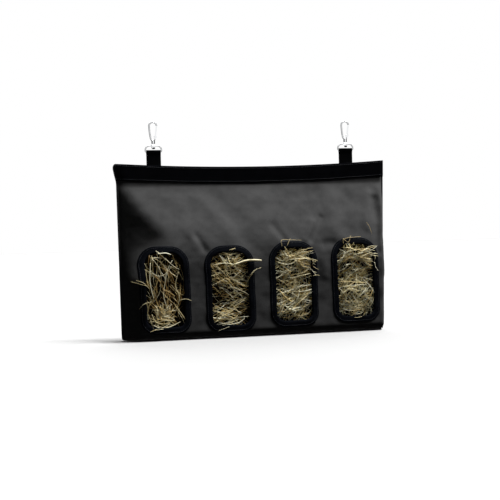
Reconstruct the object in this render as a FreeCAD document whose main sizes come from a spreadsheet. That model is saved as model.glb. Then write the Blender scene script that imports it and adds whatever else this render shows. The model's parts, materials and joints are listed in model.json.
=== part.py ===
import FreeCAD, Part
import Sketcher
import math
import os
import re

# A hanging hay bag: a flat cloth bag with a black band round its mouth and four bound windows in
# its front, filled with hay, that hangs from two swivel snap hooks on D-rings in webbing tabs.
#
# The origin is the middle of the hanging line, which joins the inner crowns of the two hooks.
# +Z is up, the front of the bag faces -Y and +X is to the right as seen from the front.
# Lengths are millimetres. "Drop" is a distance below the ends of the bag's top edge.

SIZES = {
    # The bag
    "bag_width": 490.0,
    "bag_height": 300.0,
    "bag_depth": 45.0,
    "cloth": 1.0,
    "top_sag": 8.0,
    "bottom_inset": 7.5,
    "bottom_corner": 9.0,
    "side_slope": 23.0,
    "bottom_slope": 8.0,
    "slope_ease": 1.0,
    # The band round the mouth
    "band_height": 28.0,
    "band_cloth": 1.2,
    # The windows and the tape that binds them
    "window_pitch": 113.5,
    "window_width": 87.0,
    "window_length": 147.0,
    "window_foot_margin": 11.5,
    "window_head_margin": 5.5,
    "window_round": 28.0,
    "binding_width": 11.0,
    "binding_cloth": 1.2,
    "binding_edge": 2.0,
    "binding_lap": 9.0,
    # The hay
    "hay_side_margin": 34.0,
    "hay_roof_margin": 3.0,
    "hay_bottom_margin": 5.0,
    "hay_front_margin": 9.0,
    "hay_edge_round": 5.0,
    "tuft_margin": 4.0,
    "tuft_thickness": 4.5,
    "tuft_edge_round": 3.0,
    # The webbing tabs
    "tab_spacing": 348.0,
    "webbing_width": 25.0,
    "webbing": 1.5,
    "tab_rise": 19.5,
    "tab_tail": 25.0,
    "tab_neck": 8.0,
    # The D-rings
    "dring_wire": 2.4,
    "dring_rise": 10.5,
    "dring_corner": 1.6,
    "dring_shank": 0.9,
    # The swivel eyes
    "eye_outer": 4.4,
    "eye_wall": 1.1,
    "eye_width": 4.6,
    "stem_radius": 1.5,
    "head_radius": 2.3,
    "head_height": 1.6,
    # The snap hooks
    "hook_wire": 2.8,
    "crown_radius": 6.4,
    "neck_half": 4.0,
    "neck_depth": 27.0,
    "bottom_radius": 3.6,
    "collar_radius": 3.2,
    "collar_top_depth": 29.3,
    "collar_length": 6.2,
    "collar_floor": 1.4,
    # The gates and their pins
    "pivot_half": 3.9,
    "pivot_depth": 23.7,
    "fork_radius": 2.2,
    "fork_width": 4.2,
    "gate_lug_radius": 1.8,
    "gate_lug_width": 1.7,
    "gate_width": 2.4,
    "gate_thickness": 2.2,
    "gate_tip_gap": 0.6,
    "pin_radius": 0.6,
    "pin_head_radius": 1.2,
    "pin_head_height": 0.4,
    # Clearances
    "clearance": 0.3,
    "bar_clearance": 0.1,
    "stem_clearance": 0.1,
    "pin_fit": 0.02,
    "gate_fit": 0.06,
}

WINDOW_COUNT = 4
SIDES = {"left": -1, "right": 1}
OVERSIZE = "50"

# Places that follow from the sizes, as expressions.

# The bar of a D-ring lies under the eye, which bears on the collar's stem.
COLLAR_BOTTOM = "(-collar_top_depth - collar_length)"
EYE_INNER = "(eye_outer - eye_wall)"
EYE_Z = f"({COLLAR_BOTTOM} - clearance - eye_outer)"
ARCH_Z = f"({EYE_Z} + {EYE_INNER} - clearance - dring_wire/2)"
BAR_Z = f"({ARCH_Z} - dring_rise)"
TOP_Z = f"({BAR_Z} - tab_rise)"

# The cloth layers at the mouth, from the back to the front.
BACK_FACE = "webbing"
LIP = "(webbing + clearance + cloth)"

# The windows stand on the foot of the bag, and the front folds just above them.
WINDOW_DROP = "(bag_height - window_foot_margin - window_length/2)"
FOLD_DROP = "(bag_height - window_foot_margin - window_length - window_head_margin)"

# The slope of the front, from the foot of the band out to the fold above the windows.
SLOPE_START = "(band_height + top_sag + slope_ease)"
SLOPE = f"((bag_depth - {LIP})/({FOLD_DROP} - {SLOPE_START}))"
SLOPE_AT_BACK = f"({SLOPE_START} - ({LIP} + {BACK_FACE})/{SLOPE})"
FLAP_EDGE = f"({FOLD_DROP} - cloth/{SLOPE} - clearance)"
SAG_RADIUS = "(bag_width^2/(8*top_sag) + top_sag/2)"
TRAY_DEPTH = f"(bag_depth + {BACK_FACE})"
HAY_FRONT = "(bag_depth - hay_front_margin)"
HAY_TOP_DROP = f"({SLOPE_START} + ({HAY_FRONT} + cloth + hay_roof_margin - {LIP})/{SLOPE})"

HOLE_HALF_WIDTH = "(window_width/2 - binding_width + binding_edge + clearance/2)"
HOLE_HALF_LENGTH = "(window_length/2 - binding_width + binding_edge + clearance/2)"
HOLE_ROUND = "(window_round - binding_width + binding_edge + clearance/2)"

GATE_RUN = "(crown_radius - pivot_half)"
GATE_RISE = "(pivot_depth - crown_radius + hook_wire/2)"

document = FreeCAD.newDocument("HayBag")
sheet = document.addObject("Spreadsheet::Sheet", "Sizes")


def fill_sheet():
    """Write each driving size into its own named cell."""
    for row, (alias, number) in enumerate(SIZES.items(), start=1):
        sheet.set(f"A{row}", alias)
        sheet.set(f"B{row}", str(number))
        sheet.setAlias(f"B{row}", alias)
    document.recompute()


def linked(expression):
    """Return an expression in which every size is read from the sheet."""
    return re.sub(r"\b[a-z]+(?:_[a-z]+)*\b",
                  lambda word: f"Sizes.{word.group()}" if word.group() in SIZES else word.group(),
                  str(expression))


def number(expression):
    """Return what an expression comes to with the present sizes."""
    return float(sheet.evalExpression(linked(expression)))


def drop(expression):
    """Return the height of a point that is this far below the ends of the top edge."""
    return f"({TOP_Z} - ({expression}))"


def side_at(depth):
    """Return half the bag's width, at the seam, at this drop."""
    return f"(bag_width/2 - bottom_inset*({depth})/bag_height)"


def roof_half_at(depth):
    """Return half the width of the sloping front at this drop."""
    forward = f"({LIP} + {SLOPE}*(({depth}) - {SLOPE_START}) + {BACK_FACE})"
    return f"({side_at(depth)} - side_slope*{forward}/{TRAY_DEPTH})"


def new_body(name):
    """Add a sub-part's body, named after its node."""
    body = document.addObject("PartDesign::Body", name)
    body.Label = name
    return body


def place(body, x="0", z="0"):
    """Stand a body off from the origin."""
    body.setExpression("Placement.Base.x", linked(x))
    body.setExpression("Placement.Base.z", linked(z))


def new_sketch(body, role, offset="0"):
    """Add a sketch on one of the body's own planes, moved along that plane's normal."""
    sketch = body.newObject("Sketcher::SketchObject", f"{body.Name}_sketch")
    support = next(plane for plane in body.Origin.OriginFeatures if plane.Role == role)
    sketch.AttachmentSupport = [(support, "")]
    sketch.MapMode = "FlatFace"
    sketch.setExpression("AttachmentOffset.Base.z", linked(offset))
    return sketch


def bind(sketch, constraint, expression):
    """Tie a sketch's constraint to an expression of the sheet's sizes."""
    sketch.setExpression(f"Constraints[{constraint}]", linked(expression))


def fix_point(sketch, curve, end, x, z):
    """Hold one end of a curve at a place given by two expressions."""
    for kind, axis, place_expression in (("DistanceX", -2, x), ("DistanceY", -1, z)):
        if place_expression == "0":
            sketch.addConstraint(Sketcher.Constraint("PointOnObject", curve, end, axis))
            continue
        value = number(place_expression)
        held = sketch.addConstraint(Sketcher.Constraint(kind, -1, 1, curve, end, value))
        bind(sketch, held, place_expression)


def arc_between(start, finish, radius, turn):
    """Return the short arc between two points; turn is 1 for anticlockwise, -1 for clockwise."""
    chord = finish - start
    normal = FreeCAD.Vector(-chord.y, chord.x, 0).normalize()
    height = math.sqrt(max(radius ** 2 - chord.Length ** 2 / 4, 0.0))
    centre = (start + finish) / 2 + normal * (turn * height)
    first, last = (start, finish) if turn > 0 else (finish, start)
    from_angle = math.atan2(first.y - centre.y, first.x - centre.x)
    to_angle = math.atan2(last.y - centre.y, last.x - centre.x)
    circle = Part.Circle(centre, FreeCAD.Vector(0, 0, 1), radius)
    return Part.ArcOfCircle(circle, from_angle, to_angle)


def draw(sketch, points, arcs=None, closed=True):
    """Draw an outline through points given as expressions.

    arcs maps the index of a point to the radius and turn of the arc that leads to the next one.
    """
    arcs = arcs or {}
    places = [FreeCAD.Vector(number(x), number(z), 0) for x, z in points]
    count = len(points) if closed else len(points) - 1
    ends = []
    for index in range(count):
        start, finish = places[index], places[(index + 1) % len(points)]
        if index in arcs:
            radius, turn = arcs[index]
            curve = sketch.addGeometry(arc_between(start, finish, number(radius), turn))
            ends.append((curve, 1 if turn > 0 else 2, 2 if turn > 0 else 1))
        else:
            curve = sketch.addGeometry(Part.LineSegment(start, finish))
            ends.append((curve, 1, 2))
    for index in range(count):
        curve, first, last = ends[index]
        if closed or index + 1 < count:
            following = ends[(index + 1) % count]
            sketch.addConstraint(
                Sketcher.Constraint("Coincident", curve, last, following[0], following[1]))
        fix_point(sketch, curve, first, *points[index])
        if index in arcs:
            radius = arcs[index][0]
            held = sketch.addConstraint(Sketcher.Constraint("Radius", curve, number(radius)))
            bind(sketch, held, radius)
    if not closed:
        curve, first, last = ends[-1]
        fix_point(sketch, curve, last, *points[-1])


def draw_circle(sketch, x, z, radius):
    """Draw a circle whose centre and radius are expressions."""
    centre = FreeCAD.Vector(number(x), number(z), 0)
    curve = sketch.addGeometry(Part.Circle(centre, FreeCAD.Vector(0, 0, 1), number(radius)))
    fix_point(sketch, curve, 3, x, z)
    held = sketch.addConstraint(Sketcher.Constraint("Radius", curve, number(radius)))
    bind(sketch, held, radius)


def draw_rounded_box(sketch, half_width, half_length, radius, x="0", z="0"):
    """Draw an upright rounded rectangle about a centre."""
    right = f"({x} + {half_width})"
    left = f"({x} - {half_width})"
    top = f"({z} + {half_length})"
    foot = f"({z} - {half_length})"
    points = [
        (f"({left} + {radius})", foot), (f"({right} - {radius})", foot),
        (right, f"({foot} + {radius})"), (right, f"({top} - {radius})"),
        (f"({right} - {radius})", top), (f"({left} + {radius})", top),
        (left, f"({top} - {radius})"), (left, f"({foot} + {radius})"),
    ]
    draw(sketch, points, {index: (radius, 1) for index in (1, 3, 5, 7)})


def draw_box(sketch, half_width, top, foot):
    """Draw an upright rectangle about the vertical axis."""
    draw(sketch, [(f"(-{half_width})", foot), (half_width, foot),
                  (half_width, top), (f"(-{half_width})", top)])


def pad(body, sketch, length, both_ways=False):
    """Raise a sketch into a solid."""
    feature = body.newObject("PartDesign::Pad", f"{body.Name}_pad")
    feature.Profile = sketch
    if both_ways:
        feature.SideType = "Symmetric"
    feature.setExpression("Length", linked(length))
    return feature


def pocket(body, sketch, length):
    """Cut a sketch out of a body to both sides of its plane, and make sure that it cuts."""
    document.recompute()
    before = body.Shape.Volume
    feature = body.newObject("PartDesign::Pocket", f"{body.Name}_pocket")
    feature.Profile = sketch
    feature.SideType = "Symmetric"
    feature.setExpression("Length", linked(length))
    document.recompute()
    if body.Shape.Volume >= before - 1e-6:
        raise ValueError(f"{feature.Name} cuts nothing")
    return feature


def round_edges(body, radius, choose):
    """Round those edges of a body's last feature that the choice accepts."""
    document.recompute()
    base = body.Tip
    names = [f"Edge{index}" for index, edge in enumerate(base.Shape.Edges, start=1)
             if choose(edge)]
    feature = body.newObject("PartDesign::Fillet", f"{body.Name}_fillet")
    feature.Base = (base, names)
    feature.setExpression("Radius", linked(radius))
    return feature


def make_back_panel():
    """The flat back, a single cloth that is a little narrower at its foot."""
    body = new_body("back_panel")
    foot_half = side_at("bag_height")
    shoulder_half = side_at("bag_height - bottom_corner")
    foot = drop("bag_height")
    shoulder = drop("bag_height - bottom_corner")
    points = [("(bag_width/2)", drop("0")), ("(-bag_width/2)", drop("0")),
              (f"(-{shoulder_half})", shoulder), (f"(-({foot_half} - bottom_corner))", foot),
              (f"({foot_half} - bottom_corner)", foot), (shoulder_half, shoulder)]
    sketch = new_sketch(body, "XZ_Plane", f"-({BACK_FACE} + cloth)")
    draw(sketch, points, {0: (SAG_RADIUS, -1)})
    pad(body, sketch, "cloth")


def make_band(name, rear_face):
    """A folded strip of black cloth along the top edge, which sags with it."""
    body = new_body(name)
    half = "(bag_width/2)"
    points = [(half, drop("0")), (f"(-{half})", drop("0")),
              (f"(-{half})", drop("band_height")), (half, drop("band_height"))]
    sketch = new_sketch(body, "XZ_Plane", f"-({rear_face})")
    draw(sketch, points, {0: (SAG_RADIUS, -1), 2: (SAG_RADIUS, 1)})
    pad(body, sketch, "band_cloth")


def tray_outline(inset, depth_top, depth_foot, narrower):
    """Return a four-sided section of the tray between two drops."""
    top_half = f"({side_at(depth_top)} - {narrower} - {inset})"
    foot_half = f"({side_at(depth_foot)} - {narrower} - {inset})"
    top = drop(depth_top)
    foot = f"({drop(depth_foot)} + {inset})"
    return [(f"(-{foot_half})", foot), (foot_half, foot), (top_half, top), (f"(-{top_half})", top)]


def make_front_panel_lower():
    """The stuffed lower front: a tray with sloping sides and foot, and a hole for each window."""
    body = new_body("front_panel_lower")
    back = new_sketch(body, "XZ_Plane", f"-{BACK_FACE}")
    draw(back, tray_outline("0", SLOPE_AT_BACK, "bag_height", "0"))
    front = new_sketch(body, "XZ_Plane", "bag_depth")
    draw(front, tray_outline("0", FOLD_DROP, "(bag_height - bottom_slope)", "side_slope"))
    outer = body.newObject("PartDesign::AdditiveLoft", "tray_outside")
    outer.Profile = back
    outer.Sections = [front]
    outer.Ruled = True
    document.recompute()

    raised = f"({SLOPE_AT_BACK} - {OVERSIZE})"
    back = new_sketch(body, "XZ_Plane", f"-{BACK_FACE}")
    draw(back, tray_outline("cloth", raised, "bag_height", "0"))
    front = new_sketch(body, "XZ_Plane", "bag_depth - cloth")
    slack = f"(side_slope*(bag_depth - cloth + {BACK_FACE})/{TRAY_DEPTH})"
    draw(front, tray_outline("cloth", f"({FOLD_DROP} - {OVERSIZE})",
                             "(bag_height - bottom_slope)", slack))
    inner = body.newObject("PartDesign::SubtractiveLoft", "tray_inside")
    inner.Profile = back
    inner.Sections = [front]
    inner.Ruled = True

    holes = new_sketch(body, "XZ_Plane", "bag_depth")
    for index in range(WINDOW_COUNT):
        draw_rounded_box(holes, HOLE_HALF_WIDTH, HOLE_HALF_LENGTH, HOLE_ROUND,
                         window_x(index), drop(WINDOW_DROP))
    pocket(body, holes, "bag_depth")


def window_x(index):
    """Return the middle of a window, counted from the left."""
    return f"({index - (WINDOW_COUNT - 1) / 2}*window_pitch)"


def make_front_panel_upper():
    """The upper front: upright under the band, then sloping out to the fold above the windows."""
    body = new_body("front_panel_upper")
    top = drop(f"(-{OVERSIZE})")
    foot = drop(FLAP_EDGE)
    reach = f"({LIP} + {SLOPE}*({FLAP_EDGE} - {SLOPE_START}))"
    profile = [(f"(-{LIP})", top), (f"(-{LIP})", drop(SLOPE_START)),
               (f"(-{reach})", foot), (f"(cloth - {reach})", foot),
               (f"(cloth - {LIP})", drop(SLOPE_START)), (f"(cloth - {LIP})", top)]
    section = new_sketch(body, "YZ_Plane")
    draw(section, profile)
    pad(body, section, f"bag_width + {OVERSIZE}", both_ways=True)

    inset = "(cloth + clearance)"
    ear = f"({SLOPE_START} - (cloth + 2*clearance)/{SLOPE})"
    ear_half = f"({roof_half_at(ear)} - {inset})"
    fold_half = f"({roof_half_at(FOLD_DROP)} - {inset})"
    outline = [("(bag_width/2)", drop("0")), ("(-bag_width/2)", drop("0")),
               ("(-bag_width/2)", drop(ear)), (f"(-{ear_half})", drop(ear)),
               (f"(-{fold_half})", drop(FOLD_DROP)), (fold_half, drop(FOLD_DROP)),
               (ear_half, drop(ear)), ("(bag_width/2)", drop(ear))]
    trim = new_sketch(body, "XZ_Plane")
    draw(trim, outline, {0: (SAG_RADIUS, -1)})
    draw_box(trim, f"(bag_width/2 + 2*{OVERSIZE})", drop(f"(-2*{OVERSIZE})"),
             drop(f"(bag_height + {OVERSIZE})"))
    pocket(body, trim, "4*bag_depth")


def make_window_binding(index):
    """The tape folded over one window's edge: a front lap, the fold and a narrower rear lap."""
    body = new_body(f"window_binding_{index + 1}")
    inner = ("(window_width/2 - binding_width)", "(window_length/2 - binding_width)",
             "(window_round - binding_width)")
    layers = (
        ("bag_depth", "binding_cloth", "binding_width"),
        ("(bag_depth - cloth)", "cloth", "binding_edge"),
        ("(bag_depth - cloth - binding_cloth)", "binding_cloth", "binding_lap"),
    )
    for offset, thickness, reach in layers:
        sketch = new_sketch(body, "XZ_Plane", offset)
        draw_rounded_box(sketch, *inner)
        draw_rounded_box(sketch, *(f"({size} + {reach})" for size in inner))
        pad(body, sketch, thickness)
    place(body, window_x(index), drop(WINDOW_DROP))


def make_hay_core():
    """The packed hay behind the windows, as one soft block."""
    body = new_body("hay_core")
    half = "(bag_width/2 - hay_side_margin)"
    top = drop(HAY_TOP_DROP)
    foot = drop("(bag_height - bottom_slope - hay_bottom_margin)")
    sketch = new_sketch(body, "XZ_Plane", f"-({BACK_FACE} - clearance)")
    draw_box(sketch, half, top, foot)
    pad(body, sketch, f"{HAY_FRONT} + {BACK_FACE} - clearance")
    round_edges(body, "hay_edge_round", lambda edge: True)


def make_hay_tuft(index):
    """The hay that swells into one window."""
    body = new_body(f"hay_tuft_{index + 1}")
    shrink = "(binding_width + tuft_margin)"
    sketch = new_sketch(body, "XZ_Plane", HAY_FRONT)
    draw_rounded_box(sketch, f"(window_width/2 - {shrink})", f"(window_length/2 - {shrink})",
                     f"(window_round - {shrink})")
    pad(body, sketch, "tuft_thickness")
    front = -(number(HAY_FRONT) + number("tuft_thickness"))
    round_edges(body, "tuft_edge_round",
                lambda edge: all(abs(corner.Point.y - front) < 1e-4 for corner in edge.Vertexes))
    place(body, window_x(index), drop(WINDOW_DROP))


def make_tab(side, sign):
    """A webbing tab, doubled round the D-ring's bar and sewn inside the back of the mouth."""
    body = new_body(f"tab_{side}")
    loop = "(dring_wire/2 + bar_clearance + webbing)"
    neck = "(-tab_neck)"
    tail = "(-tab_rise - tab_tail)"
    points = [(loop, "0"), ("0", loop), (f"(-{loop})", "0"), ("(-webbing)", neck),
              ("(-webbing)", tail), ("webbing", tail), ("webbing", neck)]
    sketch = new_sketch(body, "YZ_Plane")
    draw(sketch, points, {0: (loop, 1), 1: (loop, 1)})
    draw_circle(sketch, "0", "0", "(dring_wire/2 + bar_clearance)")
    pad(body, sketch, "webbing_width", both_ways=True)
    place(body, f"{sign}*tab_spacing/2", BAR_Z)


def make_dring(side, sign):
    """A D-ring of round wire: a straight bar, tight lower corners and a low arch."""
    body = new_body(f"dring_{side}")
    half = "(webbing_width/2 + clearance + dring_wire/2)"
    corner = "dring_corner"
    arch = "(dring_rise - dring_corner - dring_shank)"
    foot = f"({half} - {corner})"
    shoulder = f"({half} - {arch})"
    points = [("0", "0"), (foot, "0"), (half, corner), (half, f"({corner} + dring_shank)"),
              (shoulder, "dring_rise"), (f"(-{shoulder})", "dring_rise"),
              (f"(-{half})", f"({corner} + dring_shank)"), (f"(-{half})", corner),
              (f"(-{foot})", "0")]
    path = new_sketch(body, "XZ_Plane")
    draw(path, points, {1: (corner, 1), 3: (arch, 1), 5: (arch, 1), 7: (corner, 1)})
    section = new_sketch(body, "YZ_Plane")
    draw_circle(section, "0", "0", "(dring_wire/2)")
    sweep_along(body, section, path)
    place(body, f"{sign}*tab_spacing/2", BAR_Z)


def sweep_along(body, section, path):
    """Sweep a section along a path sketch into a wire."""
    feature = body.newObject("PartDesign::AdditivePipe", f"{body.Name}_pipe")
    feature.Profile = section
    feature.Spine = path
    return feature


def make_swivel_eye(side, sign):
    """A swivel's eye: a band round the D-ring's arch, with a headed stem that turns in the collar."""
    body = new_body(f"swivel_eye_{side}")
    ring = new_sketch(body, "YZ_Plane")
    draw_circle(ring, "0", EYE_Z, "eye_outer")
    draw_circle(ring, "0", EYE_Z, EYE_INNER)
    pad(body, ring, "eye_width", both_ways=True)
    root = f"({EYE_Z} + {EYE_INNER} + eye_wall/2)"
    head = f"({COLLAR_BOTTOM} + collar_floor + stem_clearance)"
    stem = new_sketch(body, "XY_Plane", root)
    draw_circle(stem, "0", "0", "stem_radius")
    pad(body, stem, f"{head} - {root}")
    cap = new_sketch(body, "XY_Plane", head)
    draw_circle(cap, "0", "0", "head_radius")
    pad(body, cap, "head_height")
    place(body, f"{sign}*tab_spacing/2")


def hook_path(sketch):
    """Draw the hook's wire: over the crown, down the long side and up into the fork."""
    crown_z = "(hook_wire/2 - crown_radius)"
    side_drop = "(neck_depth - crown_radius + hook_wire/2)"
    side_run = "(crown_radius - neck_half)"
    side_radius = f"(({side_drop}^2 + {side_run}^2)/(2*{side_run}))"
    # The bottom arc is tangent to the long side, so its centre is on the side's own radius.
    centre_x = f"(-neck_half + bottom_radius*({side_radius} - {side_run})/{side_radius})"
    centre_z = f"(-neck_depth + bottom_radius*{side_drop}/{side_radius})"
    points = [("crown_radius", crown_z), ("0", "(hook_wire/2)"), ("(-crown_radius)", crown_z),
              ("(-neck_half)", "(-neck_depth)"), (centre_x, f"({centre_z} - bottom_radius)"),
              (f"({centre_x} + bottom_radius)", centre_z)]
    arcs = {0: ("crown_radius", 1), 1: ("crown_radius", 1), 2: (side_radius, 1),
            3: ("bottom_radius", 1), 4: ("bottom_radius", 1)}
    draw(sketch, points, arcs, closed=False)
    return points[-1]


def make_snap_hook(side, sign):
    """The hook: round wire, a collar bored for the swivel's stem and a fork for the gate."""
    body = new_body(f"snap_hook_{side}")
    path = new_sketch(body, "XZ_Plane")
    arm_x, arm_z = hook_path(path)
    section = new_sketch(body, "XY_Plane", "hook_wire/2 - crown_radius")
    draw_circle(section, "crown_radius", "0", "(hook_wire/2)")
    sweep_along(body, section, path)

    collar = new_sketch(body, "XY_Plane", COLLAR_BOTTOM)
    draw_circle(collar, "0", "0", "collar_radius")
    pad(body, collar, "collar_length")

    fork = new_sketch(body, "XZ_Plane", "-fork_width/2")
    draw_circle(fork, "pivot_half", "(-pivot_depth)", "fork_radius")
    pad(body, fork, "fork_width")
    arm = new_sketch(body, "XZ_Plane", "-fork_width/2")
    half = "(fork_radius*0.8)"
    draw(arm, [(f"({arm_x} - {half})", arm_z), (arm_x, f"({arm_z} - {half})"),
               (f"({arm_x} + {half})", arm_z), (f"(pivot_half + {half})", "(-pivot_depth)"),
               (f"(pivot_half - {half})", "(-pivot_depth)")])
    pad(body, arm, "fork_width")

    bore = new_sketch(body, "XY_Plane", COLLAR_BOTTOM)
    draw_circle(bore, "0", "0", "(stem_radius + stem_clearance)")
    pocket(body, bore, "2*(collar_floor + clearance)")
    chamber = new_sketch(body, "XY_Plane", f"{COLLAR_BOTTOM} + collar_floor")
    draw_circle(chamber, "0", "0", "(head_radius + stem_clearance)")
    cut_up(body, chamber, "head_height + 2*stem_clearance")

    slot = new_sketch(body, "XZ_Plane")
    draw_circle(slot, "pivot_half", "(-pivot_depth)", "(fork_radius + bar_clearance)")
    pocket(body, slot, "gate_lug_width + clearance")
    hole = new_sketch(body, "XZ_Plane")
    draw_circle(hole, "pivot_half", "(-pivot_depth)", "(pin_radius + pin_fit)")
    pocket(body, hole, "2*fork_width")
    place(body, f"{sign}*tab_spacing/2")


def cut_up(body, sketch, length):
    """Cut a sketch out of a body upwards from its plane, and make sure that it cuts."""
    document.recompute()
    before = body.Shape.Volume
    feature = body.newObject("PartDesign::Pocket", f"{body.Name}_pocket")
    feature.Profile = sketch
    feature.Reversed = True
    feature.setExpression("Length", linked(length))
    document.recompute()
    if body.Shape.Volume >= before - 1e-6:
        raise ValueError(f"{feature.Name} cuts nothing")
    return feature


def make_snap_gate(side, sign):
    """The gate: a lug between the fork's cheeks and a bar that closes on the hook's nose."""
    body = new_body(f"snap_gate_{side}")
    lug = new_sketch(body, "XZ_Plane")
    draw_circle(lug, "0", "0", "gate_lug_radius")
    pad(body, lug, "gate_lug_width", both_ways=True)
    neck = new_sketch(body, "XZ_Plane")
    root = "(fork_radius + clearance)"
    half = "(gate_thickness/2)"
    tip = f"(sqrt({GATE_RUN}^2 + {GATE_RISE}^2) - gate_tip_gap)"
    draw(neck, [(f"(-{half})", "0"), (half, "0"), (half, f"(2*{root})"), (f"(-{half})", f"(2*{root})")])
    pad(body, neck, "gate_lug_width", both_ways=True)
    bar = new_sketch(body, "XZ_Plane")
    draw(bar, [(f"(-{half})", root), (half, root), (half, tip), (f"(-{half})", tip)])
    pad(body, bar, "gate_width", both_ways=True)
    hole = new_sketch(body, "XZ_Plane")
    draw_circle(hole, "0", "0", "(pin_radius + gate_fit)")
    pocket(body, hole, "2*gate_width")
    body.Placement.Rotation = FreeCAD.Rotation(FreeCAD.Vector(0, 1, 0), 0)
    body.setExpression("Placement.Rotation.Angle", linked(f"atan({GATE_RUN}/{GATE_RISE})"))
    place(body, f"{sign}*tab_spacing/2 + pivot_half", "-pivot_depth")


def make_gate_pin(side, sign):
    """The rivet that holds a gate in its fork."""
    body = new_body(f"gate_pin_{side}")
    shaft = new_sketch(body, "XZ_Plane")
    draw_circle(shaft, "0", "0", "pin_radius")
    pad(body, shaft, "fork_width + pin_head_height", both_ways=True)
    for offset in ("fork_width/2", "-fork_width/2 - pin_head_height"):
        head = new_sketch(body, "XZ_Plane", offset)
        draw_circle(head, "0", "0", "pin_head_radius")
        pad(body, head, "pin_head_height")
    place(body, f"{sign}*tab_spacing/2 + pivot_half", "-pivot_depth")


def make_all():
    """Make every sub-part, from the cloth outwards."""
    fill_sheet()
    make_back_panel()
    make_front_panel_lower()
    make_front_panel_upper()
    make_band("top_band_back", f"({BACK_FACE} + cloth + band_cloth)")
    make_band("top_band_front", f"(-{LIP})")
    for index in range(WINDOW_COUNT):
        make_window_binding(index)
    make_hay_core()
    for index in range(WINDOW_COUNT):
        make_hay_tuft(index)
    for side, sign in SIDES.items():
        make_tab(side, sign)
        make_dring(side, sign)
        make_swivel_eye(side, sign)
        make_snap_hook(side, sign)
        make_snap_gate(side, sign)
        make_gate_pin(side, sign)
    document.recompute()


def check_and_export():
    """Stop at a failed feature or a bad solid, then write each sub-part to its own file."""
    for feature in document.Objects:
        if "Invalid" in feature.State or "Error" in feature.State:
            raise ValueError(f"{feature.Name} failed: {feature.State}")
    bodies = [feature for feature in document.Objects if feature.TypeId == "PartDesign::Body"]
    for body in bodies:
        if body.Shape.isNull() or not body.Shape.isValid() or len(body.Shape.Solids) != 1:
            raise ValueError(f"{body.Label} is not one valid solid")
    os.makedirs("parts", exist_ok=True)
    for body in bodies:
        body.Shape.exportStep(os.path.join("parts", f"{body.Label}.step"))
        print(f"{body.Label}: {body.Shape.Volume / 1000:.2f} cm3")


make_all()
check_and_export()
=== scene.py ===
import json
import logging
import math
from dataclasses import dataclass, field
from enum import Enum
from typing import Iterable, Sequence

import bmesh
import bpy
import numpy as np
from mathutils import Matrix, Vector


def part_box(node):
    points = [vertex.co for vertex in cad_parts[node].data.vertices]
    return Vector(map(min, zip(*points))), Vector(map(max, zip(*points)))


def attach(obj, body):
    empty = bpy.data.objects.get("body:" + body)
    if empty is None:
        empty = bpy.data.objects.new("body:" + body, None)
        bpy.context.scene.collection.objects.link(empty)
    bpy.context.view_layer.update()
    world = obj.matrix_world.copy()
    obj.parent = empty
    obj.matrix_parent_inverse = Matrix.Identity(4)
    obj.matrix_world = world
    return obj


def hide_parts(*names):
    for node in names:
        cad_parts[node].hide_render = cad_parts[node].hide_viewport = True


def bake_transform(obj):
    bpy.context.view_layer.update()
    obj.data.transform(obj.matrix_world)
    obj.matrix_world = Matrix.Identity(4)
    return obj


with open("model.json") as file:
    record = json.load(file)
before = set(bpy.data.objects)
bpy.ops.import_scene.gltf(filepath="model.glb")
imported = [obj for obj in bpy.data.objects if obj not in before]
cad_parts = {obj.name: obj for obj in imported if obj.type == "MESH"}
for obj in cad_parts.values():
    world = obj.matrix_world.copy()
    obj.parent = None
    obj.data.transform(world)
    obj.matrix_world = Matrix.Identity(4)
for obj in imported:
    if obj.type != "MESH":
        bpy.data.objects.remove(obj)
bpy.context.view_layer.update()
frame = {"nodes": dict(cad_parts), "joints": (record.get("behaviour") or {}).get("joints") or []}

# A hanging hay bag of black oxford cloth. Lengths are millimetres unless a name says otherwise;
# "drop" is a distance below the ends of the top edge, and "depth" a distance forward of y = 0.

MM = 0.001

# The cloth was cut by hand: each window sits a little above or below its true line.
WINDOW_RISE = (0.0, -1.5, 2.0, 5.0)

log = logging.getLogger("hay_bag")

Piece = bpy.types.Object
Material = bpy.types.Material
Socket = bpy.types.NodeSocket
Triple = tuple[float, float, float]


class Side(Enum):
    """The two ends of the bag, as seen from the front."""

    LEFT = -1
    RIGHT = 1

    @property
    def label(self) -> str:
        """Return the side as the pieces' names have it."""
        return self.name.lower()


def smoothstep(low: float, high: float, value: np.ndarray) -> np.ndarray:
    """Ease from 0 to 1 between two places.

    Args:
        low: where the step starts.
        high: where it ends.
        value: the places to ease.

    Returns:
        The eased share at each place.
    """
    share = np.clip((value - low) / (high - low), 0.0, 1.0)
    return share * share * (3.0 - 2.0 * share)


def soft_min(first: np.ndarray, second: np.ndarray, softness: float) -> np.ndarray:
    """Take the lower of two surfaces with a rounded meeting.

    Args:
        first: one surface's depths.
        second: the other surface's depths.
        softness: how far from the meeting the rounding reaches.

    Returns:
        The rounded lower surface.
    """
    share = np.clip(0.5 + 0.5 * (second - first) / softness, 0.0, 1.0)
    return second + (first - second) * share - softness * share * (1.0 - share)


def ripple(x: np.ndarray, z: np.ndarray, wavelength: float, seed: int, waves: int = 9) -> np.ndarray:
    """Sum a few plane waves in random directions, as a smooth and repeatable unevenness.

    Args:
        x: places across.
        z: places up.
        wavelength: the middle wavelength.
        seed: the number that fixes the directions and phases.
        waves: how many waves are added.

    Returns:
        Heights of about -1 to 1.
    """
    rng = np.random.default_rng(seed)
    total = np.zeros(np.broadcast(x, z).shape)
    for _ in range(waves):
        angle, phase = rng.uniform(0.0, math.tau, 2)
        pace = math.tau / (wavelength * rng.uniform(0.7, 1.5))
        total += np.sin(pace * (x * math.cos(angle) + z * math.sin(angle)) + phase)
    return total / math.sqrt(waves * 2.0)


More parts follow.
